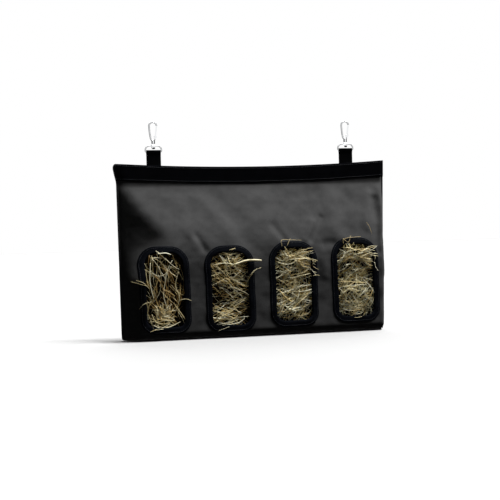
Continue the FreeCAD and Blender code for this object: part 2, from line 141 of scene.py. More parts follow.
def unit(vectors: np.ndarray) -> np.ndarray:
    """Return vectors of length one, or of length zero where they have none."""
    return vectors / np.maximum(np.linalg.norm(vectors, axis=-1, keepdims=True), 1e-9)


def linked(name: str, data: bpy.types.ID) -> Piece:
    """Return a new object in the scene that holds this mesh, light or camera."""
    made = bpy.data.objects.new(name, data)
    bpy.context.scene.collection.objects.link(made)
    return made


def mesh_object(name: str, points: np.ndarray, faces: Sequence[Sequence[int]],
                loop_normals: np.ndarray | None = None) -> Piece:
    """Make an object at the origin from points in millimetres.

    Args:
        name: the piece's name.
        points: one row for each vertex.
        faces: the vertex numbers of each face, outwards.
        loop_normals: a normal for each face corner, if the shading is to differ from the faces.

    Returns:
        The linked object.
    """
    mesh = bpy.data.meshes.new(name)
    mesh.from_pydata((np.asarray(points) * MM).tolist(), [], [list(face) for face in faces])
    mesh.polygons.foreach_set("use_smooth", np.ones(len(mesh.polygons), dtype=bool))
    if loop_normals is not None:
        mesh.normals_split_custom_set(loop_normals.tolist())
    mesh.update()
    return linked(name, mesh)


def finish_piece(piece: Piece, body: str, material: Material,
                 replaced: Iterable[str] = ()) -> Piece:
    """Dress a piece, let it ride on its body and hide the plain solids that it stands for.

    Args:
        piece: the finished mesh.
        body: the body that it moves with.
        material: the finish.
        replaced: the plain solids that it stands for.

    Returns:
        The piece.
    """
    if not piece.data.materials:
        piece.data.materials.append(material)
    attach(piece, body)
    replaced = list(replaced)
    if replaced:
        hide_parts(*replaced)
    log.info("%s: %d faces on %s", piece.name, len(piece.data.polygons), body)
    return piece


# ---------------------------------------------------------------- finishes

class ShaderGraph:
    """A material's node tree, with short calls for the nodes that the finishes use."""

    def __init__(self, name: str) -> None:
        """Start an empty material that ends in one Principled shader.

        Args:
            name: the material's name.
        """
        self.material = bpy.data.materials.new(name)
        self.material.use_nodes = True
        self.nodes = self.material.node_tree.nodes
        self.links = self.material.node_tree.links
        self.nodes.clear()
        output = self.nodes.new("ShaderNodeOutputMaterial")
        self.shader = self.nodes.new("ShaderNodeBsdfPrincipled")
        self.links.new(self.shader.outputs["BSDF"], output.inputs["Surface"])

    def node(self, kind: str, **settings: object) -> bpy.types.Node:
        """Add a node and set its own properties.

        Args:
            kind: the node's type name.
            settings: properties of the node.

        Returns:
            The new node.
        """
        made = self.nodes.new(kind)
        for key, value in settings.items():
            setattr(made, key, value)
        return made

    def math(self, operation: str, first: object, second: object = 0.0) -> Socket:
        """Add one sum.

        Args:
            operation: the Math node's operation.
            first: a number or a socket.
            second: a number or a socket.

        Returns:
            The sum's socket.
        """
        made = self.node("ShaderNodeMath", operation=operation)
        for socket, value in zip(made.inputs, (first, second)):
            if isinstance(value, Socket):
                self.links.new(value, socket)
            else:
                socket.default_value = value
        return made.outputs[0]

    def ribs(self, place: Socket, spacing: float) -> Socket:
        """Return rounded ribs across a place, this many millimetres apart."""
        pace = math.pi / (spacing * MM)
        return self.math("ABSOLUTE", self.math("SINE", self.math("MULTIPLY", place, pace)))

    def place(self) -> tuple[Socket, ...]:
        """Return the object's own x, y and z, in metres, after the whole vector."""
        coordinates = self.node("ShaderNodeTexCoord").outputs["Object"]
        split = self.node("ShaderNodeSeparateXYZ")
        self.links.new(coordinates, split.inputs[0])
        return (coordinates, *split.outputs)

    def noise(self, vector: Socket, scale: float, detail: float = 3.0) -> Socket:
        """Add a noise and return its value socket.

        Args:
            vector: the coordinates.
            scale: the number of cells in a metre.
            detail: how many finer layers it has.

        Returns:
            The noise, about 0 to 1.
        """
        made = self.node("ShaderNodeTexNoise")
        made.inputs["Scale"].default_value = scale
        made.inputs["Detail"].default_value = detail
        self.links.new(vector, made.inputs["Vector"])
        return made.outputs[0]

    def ramp(self, value: Socket, stops: Sequence[tuple[float, tuple[float, ...]]]) -> Socket:
        """Add a colour ramp.

        Args:
            value: what is looked up.
            stops: places and colours, in order.

        Returns:
            The colour socket.
        """
        made = self.node("ShaderNodeValToRGB")
        elements = made.color_ramp.elements
        while len(elements) < len(stops):
            elements.new(0.5)
        for element, (place, colour) in zip(elements, stops):
            element.position = place
            element.color = (*colour, 1.0)
        self.links.new(value, made.inputs[0])
        return made.outputs["Color"]

    def paint(self, value: Socket, stops: Sequence[tuple[float, tuple[float, ...]]]) -> None:
        """Colour the surface by a value, through a ramp of these places and colours."""
        self.links.new(self.ramp(value, stops), self.shader.inputs["Base Color"])

    def bump(self, height: Socket, distance: float, strength: float = 1.0) -> None:
        """Raise the surface by a height socket.

        Args:
            height: the height, 0 to 1.
            distance: what a height of 1 measures, in metres.
            strength: the share of it that shows.
        """
        made = self.node("ShaderNodeBump")
        made.inputs["Distance"].default_value = distance
        made.inputs["Strength"].default_value = strength
        self.links.new(height, made.inputs["Height"])
        self.links.new(made.outputs["Normal"], self.shader.inputs["Normal"])

    def set(self, **values: object) -> None:
        """Set the shader's own sockets; a name's underscores are spaces."""
        for key, value in values.items():
            self.shader.inputs[key.replace("_", " ")].default_value = value


@dataclass(frozen=True)
class WovenFinish:
    """A plain woven cloth: threads over and under, painted shade in the dips between them, faint clouds of
    tone and a dull sheen.
    """

    name: str
    dark: Triple
    light: Triple
    thread: float = 0.9
    relief: float = 0.05
    roughness: float = 0.82
    specular: float = 0.05
    sheen: float = 0.0
    cloud: float = 55.0

    def material(self) -> Material:
        """Return the finish as a material."""
        graph = ShaderGraph(self.name)
        vector, x, _, z = graph.place()
        warp, weft = graph.ribs(x, self.thread), graph.ribs(z, self.thread)
        checker = graph.node("ShaderNodeTexChecker")
        checker.inputs["Scale"].default_value = 1.0 / (self.thread * MM)
        turned = graph.node("ShaderNodeCombineXYZ")
        graph.links.new(x, turned.inputs[0])
        graph.links.new(z, turned.inputs[1])
        graph.links.new(turned.outputs[0], checker.inputs["Vector"])
        over = checker.outputs["Fac"]
        threads = graph.math("ADD", graph.math("MULTIPLY", warp, over),
                             graph.math("MULTIPLY", weft, graph.math("SUBTRACT", 1.0, over)))
        fuzz = graph.noise(vector, 900.0, 2.0)
        height = graph.math("ADD", threads, graph.math("MULTIPLY", fuzz, 0.5))
        graph.bump(height, self.relief * MM)
        clouds = graph.noise(vector, self.cloud, 4.0)
        # Painted shade: the tone follows the threads' relief, so the dips between them are darker.
        tone = graph.math("ADD", graph.math("MULTIPLY", clouds, 0.8),
                          graph.math("MULTIPLY", threads, 0.25))
        graph.paint(tone, [(0.25, self.dark), (0.75, self.light)])
        graph.set(Roughness=self.roughness, Specular_IOR_Level=self.specular,
                  Sheen_Weight=self.sheen, Sheen_Roughness=0.5)
        return graph.material


@dataclass(frozen=True)
class TapeFinish:
    """A ribbed tape or webbing: cords along it, crossed by fine threads, with painted shade in the dips of
    the weave.
    """

    name: str
    dark: Triple
    light: Triple
    rib: float = 1.6
    cross: float = 0.8
    relief: float = 0.25
    roughness: float = 0.75
    specular: float = 0.08

    def material(self) -> Material:
        """Return the finish as a material that follows the piece's own strip map."""
        graph = ShaderGraph(self.name)
        vector = graph.place()[0]
        strip = graph.node("ShaderNodeUVMap", uv_map="strip")
        split = graph.node("ShaderNodeSeparateXYZ")
        graph.links.new(strip.outputs["UV"], split.inputs[0])
        run, across = split.outputs[0], split.outputs[1]
        ribs, threads = graph.ribs(across, self.rib), graph.ribs(run, self.cross)
        weave = graph.math("MULTIPLY", ribs, graph.math("ADD", graph.math("MULTIPLY", threads, 0.45), 0.55))
        height = graph.math("ADD", weave, graph.math("MULTIPLY", graph.noise(vector, 1400.0, 2.0), 0.4))
        graph.bump(height, self.relief * MM)
        # Painted shade: the tone follows the weave's relief, so its dips are darker.
        tone = graph.math("ADD", graph.math("MULTIPLY", graph.noise(vector, 90.0), 0.7),
                          graph.math("MULTIPLY", weave, 0.35))
        graph.paint(tone, [(0.25, self.dark), (0.8, self.light)])
        graph.set(Roughness=self.roughness, Specular_IOR_Level=self.specular)
        return graph.material


@dataclass(frozen=True)
class HayFinish:
    """Dried grass: each stalk has its own tone, with faint streaks."""

    name: str
    stops: tuple[tuple[float, Triple], ...]
    roughness: float = 0.45
    specular: float = 0.36

    def material(self) -> Material:
        """Return the finish as a material that reads each stalk's tone."""
        graph = ShaderGraph(self.name)
        vector = graph.place()[0]
        stalk = graph.node("ShaderNodeAttribute", attribute_name="tone")
        streaks = graph.noise(vector, 160.0, 5.0)
        value = graph.math("ADD", graph.math("MULTIPLY", stalk.outputs["Fac"], 0.86),
                           graph.math("MULTIPLY", streaks, 0.26))
        graph.paint(value, self.stops)
        graph.bump(graph.noise(vector, 1500.0, 2.0), 0.12 * MM)
        graph.set(Roughness=self.roughness, Specular_IOR_Level=self.specular)
        return graph.material


@dataclass(frozen=True)
class ShadedCoreFinish:
    """The deep hay that only shows between the front stalks, painted near black as the shade that lies behind
    them.
    """

    name: str
    dark: Triple
    light: Triple

    def material(self) -> Material:
        """Return the finish as a material with a matted look, whose dark tones are painted shade."""
        graph = ShaderGraph(self.name)
        vector = graph.place()[0]
        turned = graph.node("ShaderNodeMapping")
        turned.inputs["Scale"].default_value = (1.0, 1.0, 3.0)
        graph.links.new(vector, turned.inputs["Vector"])
        mat = graph.noise(turned.outputs[0], 260.0, 6.0)
        # Painted shade: the ramp keeps the deep hay near black, darkest in the dips of its relief.
        graph.paint(mat, [(0.42, self.dark), (0.72, self.light)])
        graph.bump(mat, 2.5 * MM)
        graph.set(Roughness=0.9, Specular_IOR_Level=0.05)
        return graph.material


@dataclass(frozen=True)
class ChromeFinish:
    """Bright plated metal with handling marks."""

    name: str
    colour: Triple = (0.86, 0.87, 0.88)
    smooth: float = 0.07
    worn: float = 0.26

    def material(self) -> Material:
        """Return the finish as a material."""
        graph = ShaderGraph(self.name)
        vector = graph.place()[0]
        marks = graph.ramp(graph.noise(vector, 420.0, 5.0),
                           [(0.4, (self.smooth,) * 3), (0.8, (self.worn,) * 3)])
        graph.links.new(marks, graph.shader.inputs["Roughness"])
        graph.bump(graph.noise(vector, 700.0, 3.0), 0.03 * MM, 0.6)
        graph.set(Metallic=1.0, Base_Color=(*self.colour, 1.0))
        return graph.material


@dataclass(frozen=True)
class ThreadFinish:
    """Bonded sewing thread."""

    name: str
    colour: Triple = (0.012, 0.013, 0.017)

    def material(self) -> Material:
        """Return the finish as a material with a faint twist."""
        graph = ShaderGraph(self.name)
        vector = graph.place()[0]
        tone = graph.noise(vector, 500.0, 2.0)
        lighter = tuple(1.8 * value for value in self.colour)
        graph.paint(tone, [(0.3, self.colour), (0.7, lighter)])
        graph.bump(graph.noise(vector, 2600.0, 1.0), 0.08 * MM)
        graph.set(Roughness=0.5, Specular_IOR_Level=0.25)
        return graph.material


@dataclass(frozen=True)
class Finishes:
    """Every finish of the bag, made once."""

    oxford: Material
    band: Material
    tape: Material
    webbing: Material
    hay: Material
    core: Material
    chrome: Material
    thread: Material

    @staticmethod
    def make() -> "Finishes":
        """Return the finishes as materials."""
        hay_stops = (
            (0.08, (0.130, 0.070, 0.020)),
            (0.30, (0.460, 0.290, 0.090)),
            (0.50, (0.800, 0.600, 0.250)),
            (0.72, (0.960, 0.830, 0.460)),
            (0.95, (0.990, 0.950, 0.700)),
        )
        return Finishes(
            oxford=WovenFinish("oxford_cloth", (0.055, 0.055, 0.055), (0.083, 0.083, 0.083),
                               specular=0.02, sheen=0.02).material(),
            band=WovenFinish("band_cloth", (0.0012, 0.0013, 0.0018), (0.0036, 0.0038, 0.0052),
                             thread=0.7, specular=0.015).material(),
            tape=TapeFinish("binding_tape", (0.0016, 0.0020, 0.0032), (0.0056, 0.0066, 0.0096),
                            specular=0.02).material(),
            webbing=TapeFinish("webbing", (0.0008, 0.0008, 0.0010), (0.0028, 0.0028, 0.0034),
                               rib=2.2, cross=1.1, specular=0.02).material(),
            hay=HayFinish("hay", hay_stops).material(),
            # The deep hay's near-black colour is painted shade, not the straw's own colour.
            core=ShadedCoreFinish("hay_deep_painted_shade", (0.006, 0.004, 0.002), (0.080, 0.052, 0.022)).material(),
            chrome=ChromeFinish("chrome").material(),
            thread=ThreadFinish("thread").material(),
        )


# ---------------------------------------------------------------- the bag's outer form

@dataclass(frozen=True)
class Fold:
    """One soft ridge or valley in the cloth: a line from one place to another."""

    x_from: float
    drop_from: float
    x_to: float
    drop_to: float
    width: float
    height: float

    def lift(self, x: np.ndarray, drop: np.ndarray) -> np.ndarray:
        """Return how far the fold moves the cloth forward at these places.

        Args:
            x: places across.
            drop: places down.

        Returns:
            The lift of each place.
        """
        run = np.array([self.x_to - self.x_from, self.drop_to - self.drop_from])
        length = max(float(np.hypot(*run)), 1e-6)
        along = ((x - self.x_from) * run[0] + (drop - self.drop_from) * run[1]) / length ** 2
        near = np.clip(along, 0.0, 1.0)
        away = np.hypot(x - self.x_from - near * run[0], drop - self.drop_from - near * run[1])
        return self.height * np.exp(-(away / self.width) ** 2)


@dataclass(frozen=True)
class Window:
    """One window's outline: an upright rounded rectangle with rounder shoulders than foot."""

    index: int
    x: float
    drop: float
    half_width: float
    half_length: float
    shoulder: float = 33.0
    foot: float = 25.0
    lean: float = 1.2

    def outline(self, inset: float, step: float = 3.0) -> np.ndarray:
        """Return the outline as places, clockwise from the left foot as seen from the front.

        Args:
            inset: how far inside the outer edge it runs.
            step: the distance between places.

        Returns:
            Rows of x and drop.
        """
        half_width, half_length = self.half_width - inset, self.half_length - inset
        places: list[tuple[float, float]] = []
        corners = ((-1, 1, self.foot, 90.0), (-1, -1, self.shoulder, 180.0),
                   (1, -1, self.shoulder, 270.0), (1, 1, self.foot, 0.0))
        for sign_x, sign_drop, radius, start in corners:
            radius = max(radius - inset, 4.0)
            centre_x = sign_x * (half_width - radius)
            centre_drop = sign_drop * (half_length - radius)
            count = max(6, int(radius * math.pi / 2.0 / step))
            for turn in np.radians(np.linspace(start, start + 90.0, count)):
                places.append((centre_x + radius * math.cos(turn), centre_drop + radius * math.sin(turn)))
        loop = np.array(places)
        ring = np.vstack([loop, loop[:1]])
        runs = np.hypot(*np.diff(ring, axis=0).T)
        reach = np.concatenate([[0.0], np.cumsum(runs)])
        count = int(round(reach[-1] / step))
        spots = np.linspace(0.0, reach[-1], count, endpoint=False)
        x = np.interp(spots, reach, ring[:, 0])
        drop = np.interp(spots, reach, ring[:, 1])
        wave = 0.5 * ripple(x, drop, 70.0, 40 + self.index)
        x = x + self.lean * drop / self.half_length + wave
        return np.stack([self.x + x, self.drop + drop + 0.4 * wave], axis=1)

    def distance(self, x: np.ndarray, drop: np.ndarray, inset: float) -> np.ndarray:
        """Return how far places lie outside the outline with this inset; inside is negative.

        Args:
            x: places across.
            drop: places down.
            inset: how far inside the outer edge the outline runs.

        Returns:
            The distance of each place.
        """
        local_drop = drop - self.drop
        local_x = x - self.x - self.lean * local_drop / self.half_length
        radius = np.where(local_drop < 0.0, self.shoulder, self.foot) - inset
        over_x = np.abs(local_x) - (self.half_width - inset - radius)
        over_drop = np.abs(local_drop) - (self.half_length - inset - radius)
        outside = np.hypot(np.maximum(over_x, 0.0), np.maximum(over_drop, 0.0))
        return outside + np.minimum(np.maximum(over_x, over_drop), 0.0) - radius


@dataclass(frozen=True)
class BagForm:
    """The outer form that the cloth, the bands and the tapes all follow."""

    top: float
    half_width: float
    height: float
    full: float
    fold_drop: float
    windows: tuple[Window, ...]
    lip: float = 2.8
    seam: float = -0.45
    seam_flat: float = 3.5
    band: float = 28.0
    sag: float = 8.0
    slope_start: float = 35.0
    foot_round: float = 15.0
    left_neck: float = 5.0
    left_inset: float = 2.5
    right_inset: float = 7.5
    hip_left: float = 98.0
    hip_right: float = 18.0
    wall_left: float = 29.0
    wall_right: float = 16.0
    hip_end: float = 120.0
    wall_start: float = 206.0
    mouth_corner: float = 9.0
    folds: tuple[Fold, ...] = (
        Fold(-20.0, 138.0, -74.0, 48.0, 16.0, -1.9),
        Fold(-48.0, 128.0, -100.0, 60.0, 13.0, 1.1),
        Fold(92.0, 138.0, 114.0, 100.0, 5.0, -2.2),
        Fold(80.0, 136.0, 98.0, 106.0, 6.0, 1.6),
        Fold(44.0, 138.0, 26.0, 112.0, 7.0, -1.9),
        Fold(112.0, 44.0, 62.0, 124.0, 19.0, -2.6),
        Fold(132.0, 48.0, 134.0, 112.0, 13.0, 1.9),
        Fold(209.0, 58.0, 196.0, 118.0, 8.0, 2.2),
        Fold(219.0, 70.0, 214.0, 160.0, 8.0, -3.2),
        Fold(231.0, 44.0, 230.0, 200.0, 6.0, 3.0),
        Fold(160.0, 128.0, 190.0, 122.0, 10.0, -1.1),
        Fold(-140.0, 152.0, -128.0, 136.0, 8.0, -1.5),
        Fold(-99.0, 149.0, -112.0, 126.0, 6.0, -2.0),
        Fold(116.0, 146.0, 130.0, 144.0, 8.0, -2.2),
        Fold(113.0, 176.0, 114.0, 200.0, 9.0, 1.4),
        Fold(-40.0, 36.0, -26.0, 42.0, 9.0, -1.3),
        Fold(-150.0, 60.0, -120.0, 128.0, 14.0, 0.9),
        Fold(10.0, 60.0, 20.0, 120.0, 22.0, 1.6),
        Fold(168.0, 60.0, 160.0, 116.0, 12.0, -1.3),
    )

    def half(self, drop: np.ndarray, side: Side) -> np.ndarray:
        """Return the distance from the middle to the side seam at this drop.

        Args:
            drop: places down.
            side: the end of the bag.

        Returns:
            The half width at each drop.
        """
        if side is Side.LEFT:
            neck = self.left_neck * smoothstep(3.0, 36.0, drop)
            rise = np.clip((self.mouth_corner - drop) / self.mouth_corner, 0.0, 1.0)
            mouth = 0.6 * self.mouth_corner * (1.0 - np.sqrt(1.0 - 0.98 * rise ** 2))
            inset, corner = neck + mouth + self.left_inset * drop / self.height, 10.0
        else:
            inset, corner = self.right_inset * drop / self.height, 3.5
        over = np.clip((drop - (self.height - corner)) / corner, 0.0, 1.0)
        rounding = corner * (1.0 - np.sqrt(1.0 - over ** 2))
        return self.half_width - inset - rounding

    def hip(self, drop: np.ndarray, side: Side) -> np.ndarray:
        """Return how far in from the seam the side wall reaches at this drop.

        Args:
            drop: places down.
            side: the end of the bag.

        Returns:
            The reach at each drop.
        """
        if side is Side.LEFT:
            wide, wall = self.hip_left, self.wall_left
        else:
            wide, wall = self.hip_right, self.wall_right
        return wide + (wall - wide) * smoothstep(self.hip_end, self.wall_start, drop)

    def sagged(self, x: np.ndarray, level: np.ndarray) -> np.ndarray:
        """Return the drop of a cloth level, which hangs lower in the middle near the mouth."""
        dip = self.sag * (1.0 - (x / self.half_width) ** 2)
        return level + dip * (1.0 - smoothstep(self.band, self.fold_drop - 15.0, level))

    def wall_depth(self, x: np.ndarray, drop: np.ndarray) -> np.ndarray:
        """Return how far forward the side walls let the front come.

        Args:
            x: places across.
            drop: places down.

        Returns:
            The walls' depth at each place.
        """
        half = np.where(x < 0.0, self.half(drop, Side.LEFT), self.half(drop, Side.RIGHT))
        hip = np.where(x < 0.0, self.hip(drop, Side.LEFT), self.hip(drop, Side.RIGHT))
        share = np.clip((half - self.seam_flat - np.abs(x)) / hip, 0.0, 1.0)
        power = 1.12 + 0.22 * smoothstep(self.hip_end, self.wall_start, drop)
        rise = (1.0 - (1.0 - share) ** power) ** (1.0 / power)
        return self.seam + (self.full + 3.0 - self.seam) * rise

    def depth(self, x: np.ndarray, drop: np.ndarray) -> np.ndarray:
        """Return how far forward of y = 0 the cloth's outer face stands.

        Args:
            x: places across.
            drop: places down.

        Returns:
            The depth of each place.
        """
        x, drop = np.broadcast_arrays(np.asarray(x, float), np.asarray(drop, float))
        pitch = (self.full - self.lip) / (self.fold_drop - self.slope_start)
        slope = self.lip + pitch * np.maximum(drop - self.slope_start - self.sag * 0.5, 0.0)
        crown = 1.5 * (1.0 - (x / self.half_width) ** 2)
        front = self.full + crown + 1.2 * ripple(x, drop, 150.0, 5)
        body = soft_min(soft_min(slope, front, 16.0), self.wall_depth(x, drop), 7.0)
        for fold in self.folds:
            body = body + fold.lift(x, drop) * smoothstep(1.0, 14.0, body)
        fine = 0.45 * ripple(x, drop, 34.0, 11) + 0.14 * ripple(x, drop, 13.0, 12)
        body = body + fine * smoothstep(2.0, 12.0, body)
        return np.maximum(body, self.seam)

    def footed(self, x: np.ndarray, level: np.ndarray) -> tuple[np.ndarray, np.ndarray]:
        """Return the drop and depth of a level, which turns under the bag at its foot.

        Args:
            x: places across.
            level: the level of the cloth; past the foot's rounding it is an angle's share.

        Returns:
            Drops and depths.
        """
        start = self.height - self.foot_round
        turn = np.clip((level - start) / self.foot_round, 0.0, 1.0) * math.pi / 2.0
        power = 2.0 / 2.5
        drop = np.minimum(level, start) + self.foot_round * np.sin(turn) ** power
        flat = self.depth(x, np.minimum(drop, start))
        depth = self.seam + (flat - self.seam) * np.cos(turn) ** power
        return drop, depth


def open_edges(cells: Iterable[Sequence[int]]) -> list[tuple[int, int]]:
    """Return the edges that belong to one face only, in the way that the face runs.

    Args:
        cells: the vertex numbers of each face.

    Returns:
        The start and end of each edge.
    """
    edges: dict[tuple[int, int], None] = {}
    for cell in cells:
        for start, end in zip(cell, [*cell[1:], cell[0]]):
            if (end, start) in edges:
                del edges[(end, start)]
            else:
                edges[(start, end)] = None
    return list(edges)


@dataclass
class ClothGrid:
    """The whole front as one grid of places, from which each cloth piece is cut."""

    form: BagForm
    step: float = 3.0
    flap_half: float = 125.0
    levels: np.ndarray = field(init=False)
    points: np.ndarray = field(init=False)
    normals: np.ndarray = field(init=False)
    drops: np.ndarray = field(init=False)
    flap_columns: tuple[int, int] = field(init=False)
    fold_row: int = field(init=False)

    def __post_init__(self) -> None:
        """Sample the form."""
        form = self.form
        foot_rows = 13
        spare_columns = 14
        flap_rows = int(form.fold_drop / self.step)
        lower_end = form.height - form.foot_round
        lower_rows = int((lower_end - form.fold_drop) / self.step)
        self.levels = np.concatenate([
            np.linspace(0.0, form.fold_drop, flap_rows + 1),
            np.linspace(form.fold_drop, lower_end, lower_rows + 1)[1:],
            np.linspace(lower_end, form.height, foot_rows)[1:],
        ])
        self.fold_row = flap_rows
        edge = 2
        corner = 20
        side = int((form.half_width - form.hip_left - self.flap_half) / self.step) + spare_columns
        middle = int(2 * self.flap_half / self.step)
        shares: list[tuple[str, float]] = []
        shares += [("edge", k / edge) for k in range(edge)]
        shares += [("corner", k / corner) for k in range(corner)]
        shares += [("side", k / side) for k in range(side)]
        left = self._columns(shares, Side.LEFT)
        right = self._columns(shares, Side.RIGHT)[:, ::-1]
        centre = np.tile(np.linspace(-self.flap_half, self.flap_half, middle + 1), (len(self.levels), 1))
        x = np.hstack([left, centre, right])
        self.flap_columns = (left.shape[1], left.shape[1] + middle)
        level = np.broadcast_to(self.levels[:, None], x.shape)
        drop, depth = form.footed(x, form.sagged(x, level))
        self.drops = drop
        self.points = np.stack([x, -depth, form.top - drop], axis=-1)
        across = np.gradient(self.points, axis=1)
        down = np.gradient(self.points, axis=0)
        self.normals = unit(np.cross(across, -down))
        self.normals *= -np.sign(self.normals[self.fold_row, x.shape[1] // 2, 1])

    def mouth_parts(self) -> dict[str, tuple[int, int]]:
        """Return the first and last column of each part of the mouth."""
        first, last = self.flap_columns
        return {"middle": (first, last), "left": (0, first), "right": (last, self.points.shape[1] - 1)}

    def _columns(self, shares: Sequence[tuple[str, float]], side: Side) -> np.ndarray:
        """Return x for the columns of one side, from the seam inwards.

        Args:
            shares: each column's zone, and its share of the way across the zone.
            side: the end of the bag.

        Returns:
            A row of x for each level.
        """
        form = self.form
        levels = np.minimum(self.levels, form.height)
        half = form.half(levels, side)
        hip = np.maximum(form.hip(levels, side), 40.0)
        columns = []
        for zone, share in shares:
            if zone == "edge":
                x = half - form.seam_flat * share
            elif zone == "corner":
                x = half - form.seam_flat - hip * (1.0 - math.cos(share * math.pi / 2.0)) ** 1.25
            else:
                inner = half - form.seam_flat - hip
                x = inner + (self.flap_half - inner) * share
            columns.append(side.value * x)
        return np.stack(columns, axis=1)


def shell(name: str, points: np.ndarray, normals: np.ndarray, thickness: np.ndarray | float,
          keep: np.ndarray | None = None) -> Piece:
    """Give a grid of places a wall behind it, closed all round.

    Args:
        name: the piece's name.
        points: rows and columns of outer places.
        normals: the outward normal at each place.
        thickness: the wall's thickness, one number or one for each place.
        keep: which cells are kept; all of them if left out.

    Returns:
        The closed shell.
    """
    rows, columns = points.shape[:2]
    if keep is None:
        keep = np.ones((rows - 1, columns - 1), dtype=bool)
    number = np.arange(rows * columns).reshape(rows, columns)
    cells = np.stack([number[:-1, :-1], number[1:, :-1], number[1:, 1:], number[:-1, 1:]], axis=-1)[keep]
    used, inverse = np.unique(cells, return_inverse=True)
    cells = inverse.reshape(cells.shape)
    outer = points.reshape(-1, 3)[used]
    normal = normals.reshape(-1, 3)[used]
    wall = np.broadcast_to(np.asarray(thickness, float), points.shape[:2]).reshape(-1)[used]
    inner = outer - normal * wall[:, None]
    first, second, third = outer[cells[0, 0]], outer[cells[0, 1]], outer[cells[0, 2]]
    if np.dot(np.cross(second - first, third - first), normal[cells[0, 0]]) < 0.0:
        cells = cells[:, ::-1]
    count = len(outer)
    rims = [(end, start, start + count, end + count) for start, end in open_edges(cells.tolist())]
    faces = cells.tolist() + (cells[:, ::-1] + count).tolist() + [list(rim) for rim in rims]
    places = np.vstack([outer, inner])
    corners = np.array(rims)
    rim_normal = unit(np.cross(places[corners[:, 1]] - places[corners[:, 0]],
                               places[corners[:, 2]] - places[corners[:, 0]]))
    loops = np.vstack([normal[cells.reshape(-1)], -normal[cells[:, ::-1].reshape(-1)],
                       np.repeat(rim_normal, 4, axis=0)])
    return mesh_object(name, places, faces, loops)


@dataclass
class FrontCloth:
    """The front of the bag: one cloth with four holes, free to bow out above its fold."""

    form: BagForm
    grid: ClothGrid
    cloth: float = 1.0
    hole_inset: float = 8.8

    def build(self, finishes: Finishes) -> None:
        """Args:
            finishes: every finish of the bag.
        """
        lower = self._lower()
        finish_piece(lower, "pouch", finishes.oxford, ["front_panel_lower"])
        for part, (start, end) in self.grid.mouth_parts().items():
            self._flap(part, start, end, finishes)

    def _lower(self) -> Piece:
        """Return the lower front with its holes."""
        grid = self.grid
        points = grid.points[grid.fold_row:].copy()
        normals = grid.normals[grid.fold_row:]
        drops = self.form.top - points[..., 2]
        gap = np.full(points.shape[:2], 1e9)
        for window in self.form.windows:
            gap = np.minimum(gap, window.distance(points[..., 0], drops, self.hole_inset))
        inside = gap < 0.0
        cells = (inside[:-1, :-1].astype(int) + inside[1:, :-1] + inside[1:, 1:] + inside[:-1, 1:])
        keep = cells < 2
        self._snap(points, drops, keep)
        return shell("front_cloth_lower", points, normals, self.cloth, keep)

    def _snap(self, points: np.ndarray, drops: np.ndarray, keep: np.ndarray) -> None:
        """Move the places beside each hole onto its outline.

        Args:
            points: the lower front's places, which are changed.
            drops: their drops, which are changed too.
            keep: the cells that stay.
        """
        rows, columns = points.shape[:2]
        touched = np.zeros((rows, columns), dtype=bool)
        kept = np.zeros((rows, columns), dtype=bool)
        for row, column in ((0, 0), (1, 0), (0, 1), (1, 1)):
            view = (slice(row, rows - 1 + row), slice(column, columns - 1 + column))
            touched[view] |= ~keep
            kept[view] |= keep
        rim = touched & kept
        nudge = 0.05
        reach = 8.0
        for window in self.form.windows:
            for _ in range(4):
                x, drop = points[..., 0], drops
                gap = window.distance(x, drop, self.hole_inset)
                slope_x = (window.distance(x + nudge, drop, self.hole_inset) - gap) / nudge
                slope_drop = (window.distance(x, drop + nudge, self.hole_inset) - gap) / nudge
                near = rim & (np.abs(gap) < reach)
                points[..., 0] = np.where(near, x - gap * slope_x, x)
                drops[...] = np.where(near, drop - gap * slope_drop, drop)
        points[..., 2] = np.where(rim, self.form.top - drops, points[..., 2])
        points[..., 1] = np.where(rim, -self.form.depth(points[..., 0], drops), points[..., 1])

    def _flap(self, part: str, start: int, end: int, finishes: Finishes) -> None:
        """Make one part of the flap; the middle part rides on the mouth's free middle.

        Args:
            part: middle, left or right.
            start: its first column.
            end: its last column.
            finishes: every finish of the bag.
        """
        grid, form = self.grid, self.form
        rows = slice(0, grid.fold_row + 1)
        columns = slice(start, end + 1)
        piece = shell(f"front_cloth_flap_{part}", grid.points[rows, columns],
                      grid.normals[rows, columns], self.cloth)
        mouth_piece(piece, part, finishes.oxford,
                    ["front_panel_upper"] if part == "middle" else [])


def mouth_piece(piece: Piece, part: str, material: Material,
                replaced: Iterable[str]) -> None:
    """Let the middle part of the mouth ride on the mouth's free middle; dress a side part and leave it where
    it lies.

    Args:
        piece: the cloth piece.
        part: middle, left or right.
        material: the finish.
        replaced: the plain solids that it stands for.
    """
    if part == "middle":
        finish_piece(piece, "mouth_front", material, replaced)
        return
    piece.data.materials.append(material)
    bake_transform(piece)
    log.info("%s: %d faces, bends between pouch and mouth_front", piece.name, len(piece.data.polygons))


BAND_THICKNESS = 1.2
BAND_EDGE = 0.5


def band_levels(band: float, inner: int) -> np.ndarray:
    """Return the levels of a band this high, closer together near its two edges."""
    ends = np.array([0.0, 0.5, 1.2, 2.4])
    return np.concatenate([ends, np.linspace(5.0, band - 5.0, inner), band - ends[::-1]])


def band_thickness(levels: np.ndarray, band: float) -> np.ndarray:
    """Return the folded strip's thickness at these levels, thinner at its two edges."""
    share = np.abs(2.0 * levels / band - 1.0)
    return BAND_EDGE + (BAND_THICKNESS - BAND_EDGE) * np.sqrt(1.0 - share ** 10)


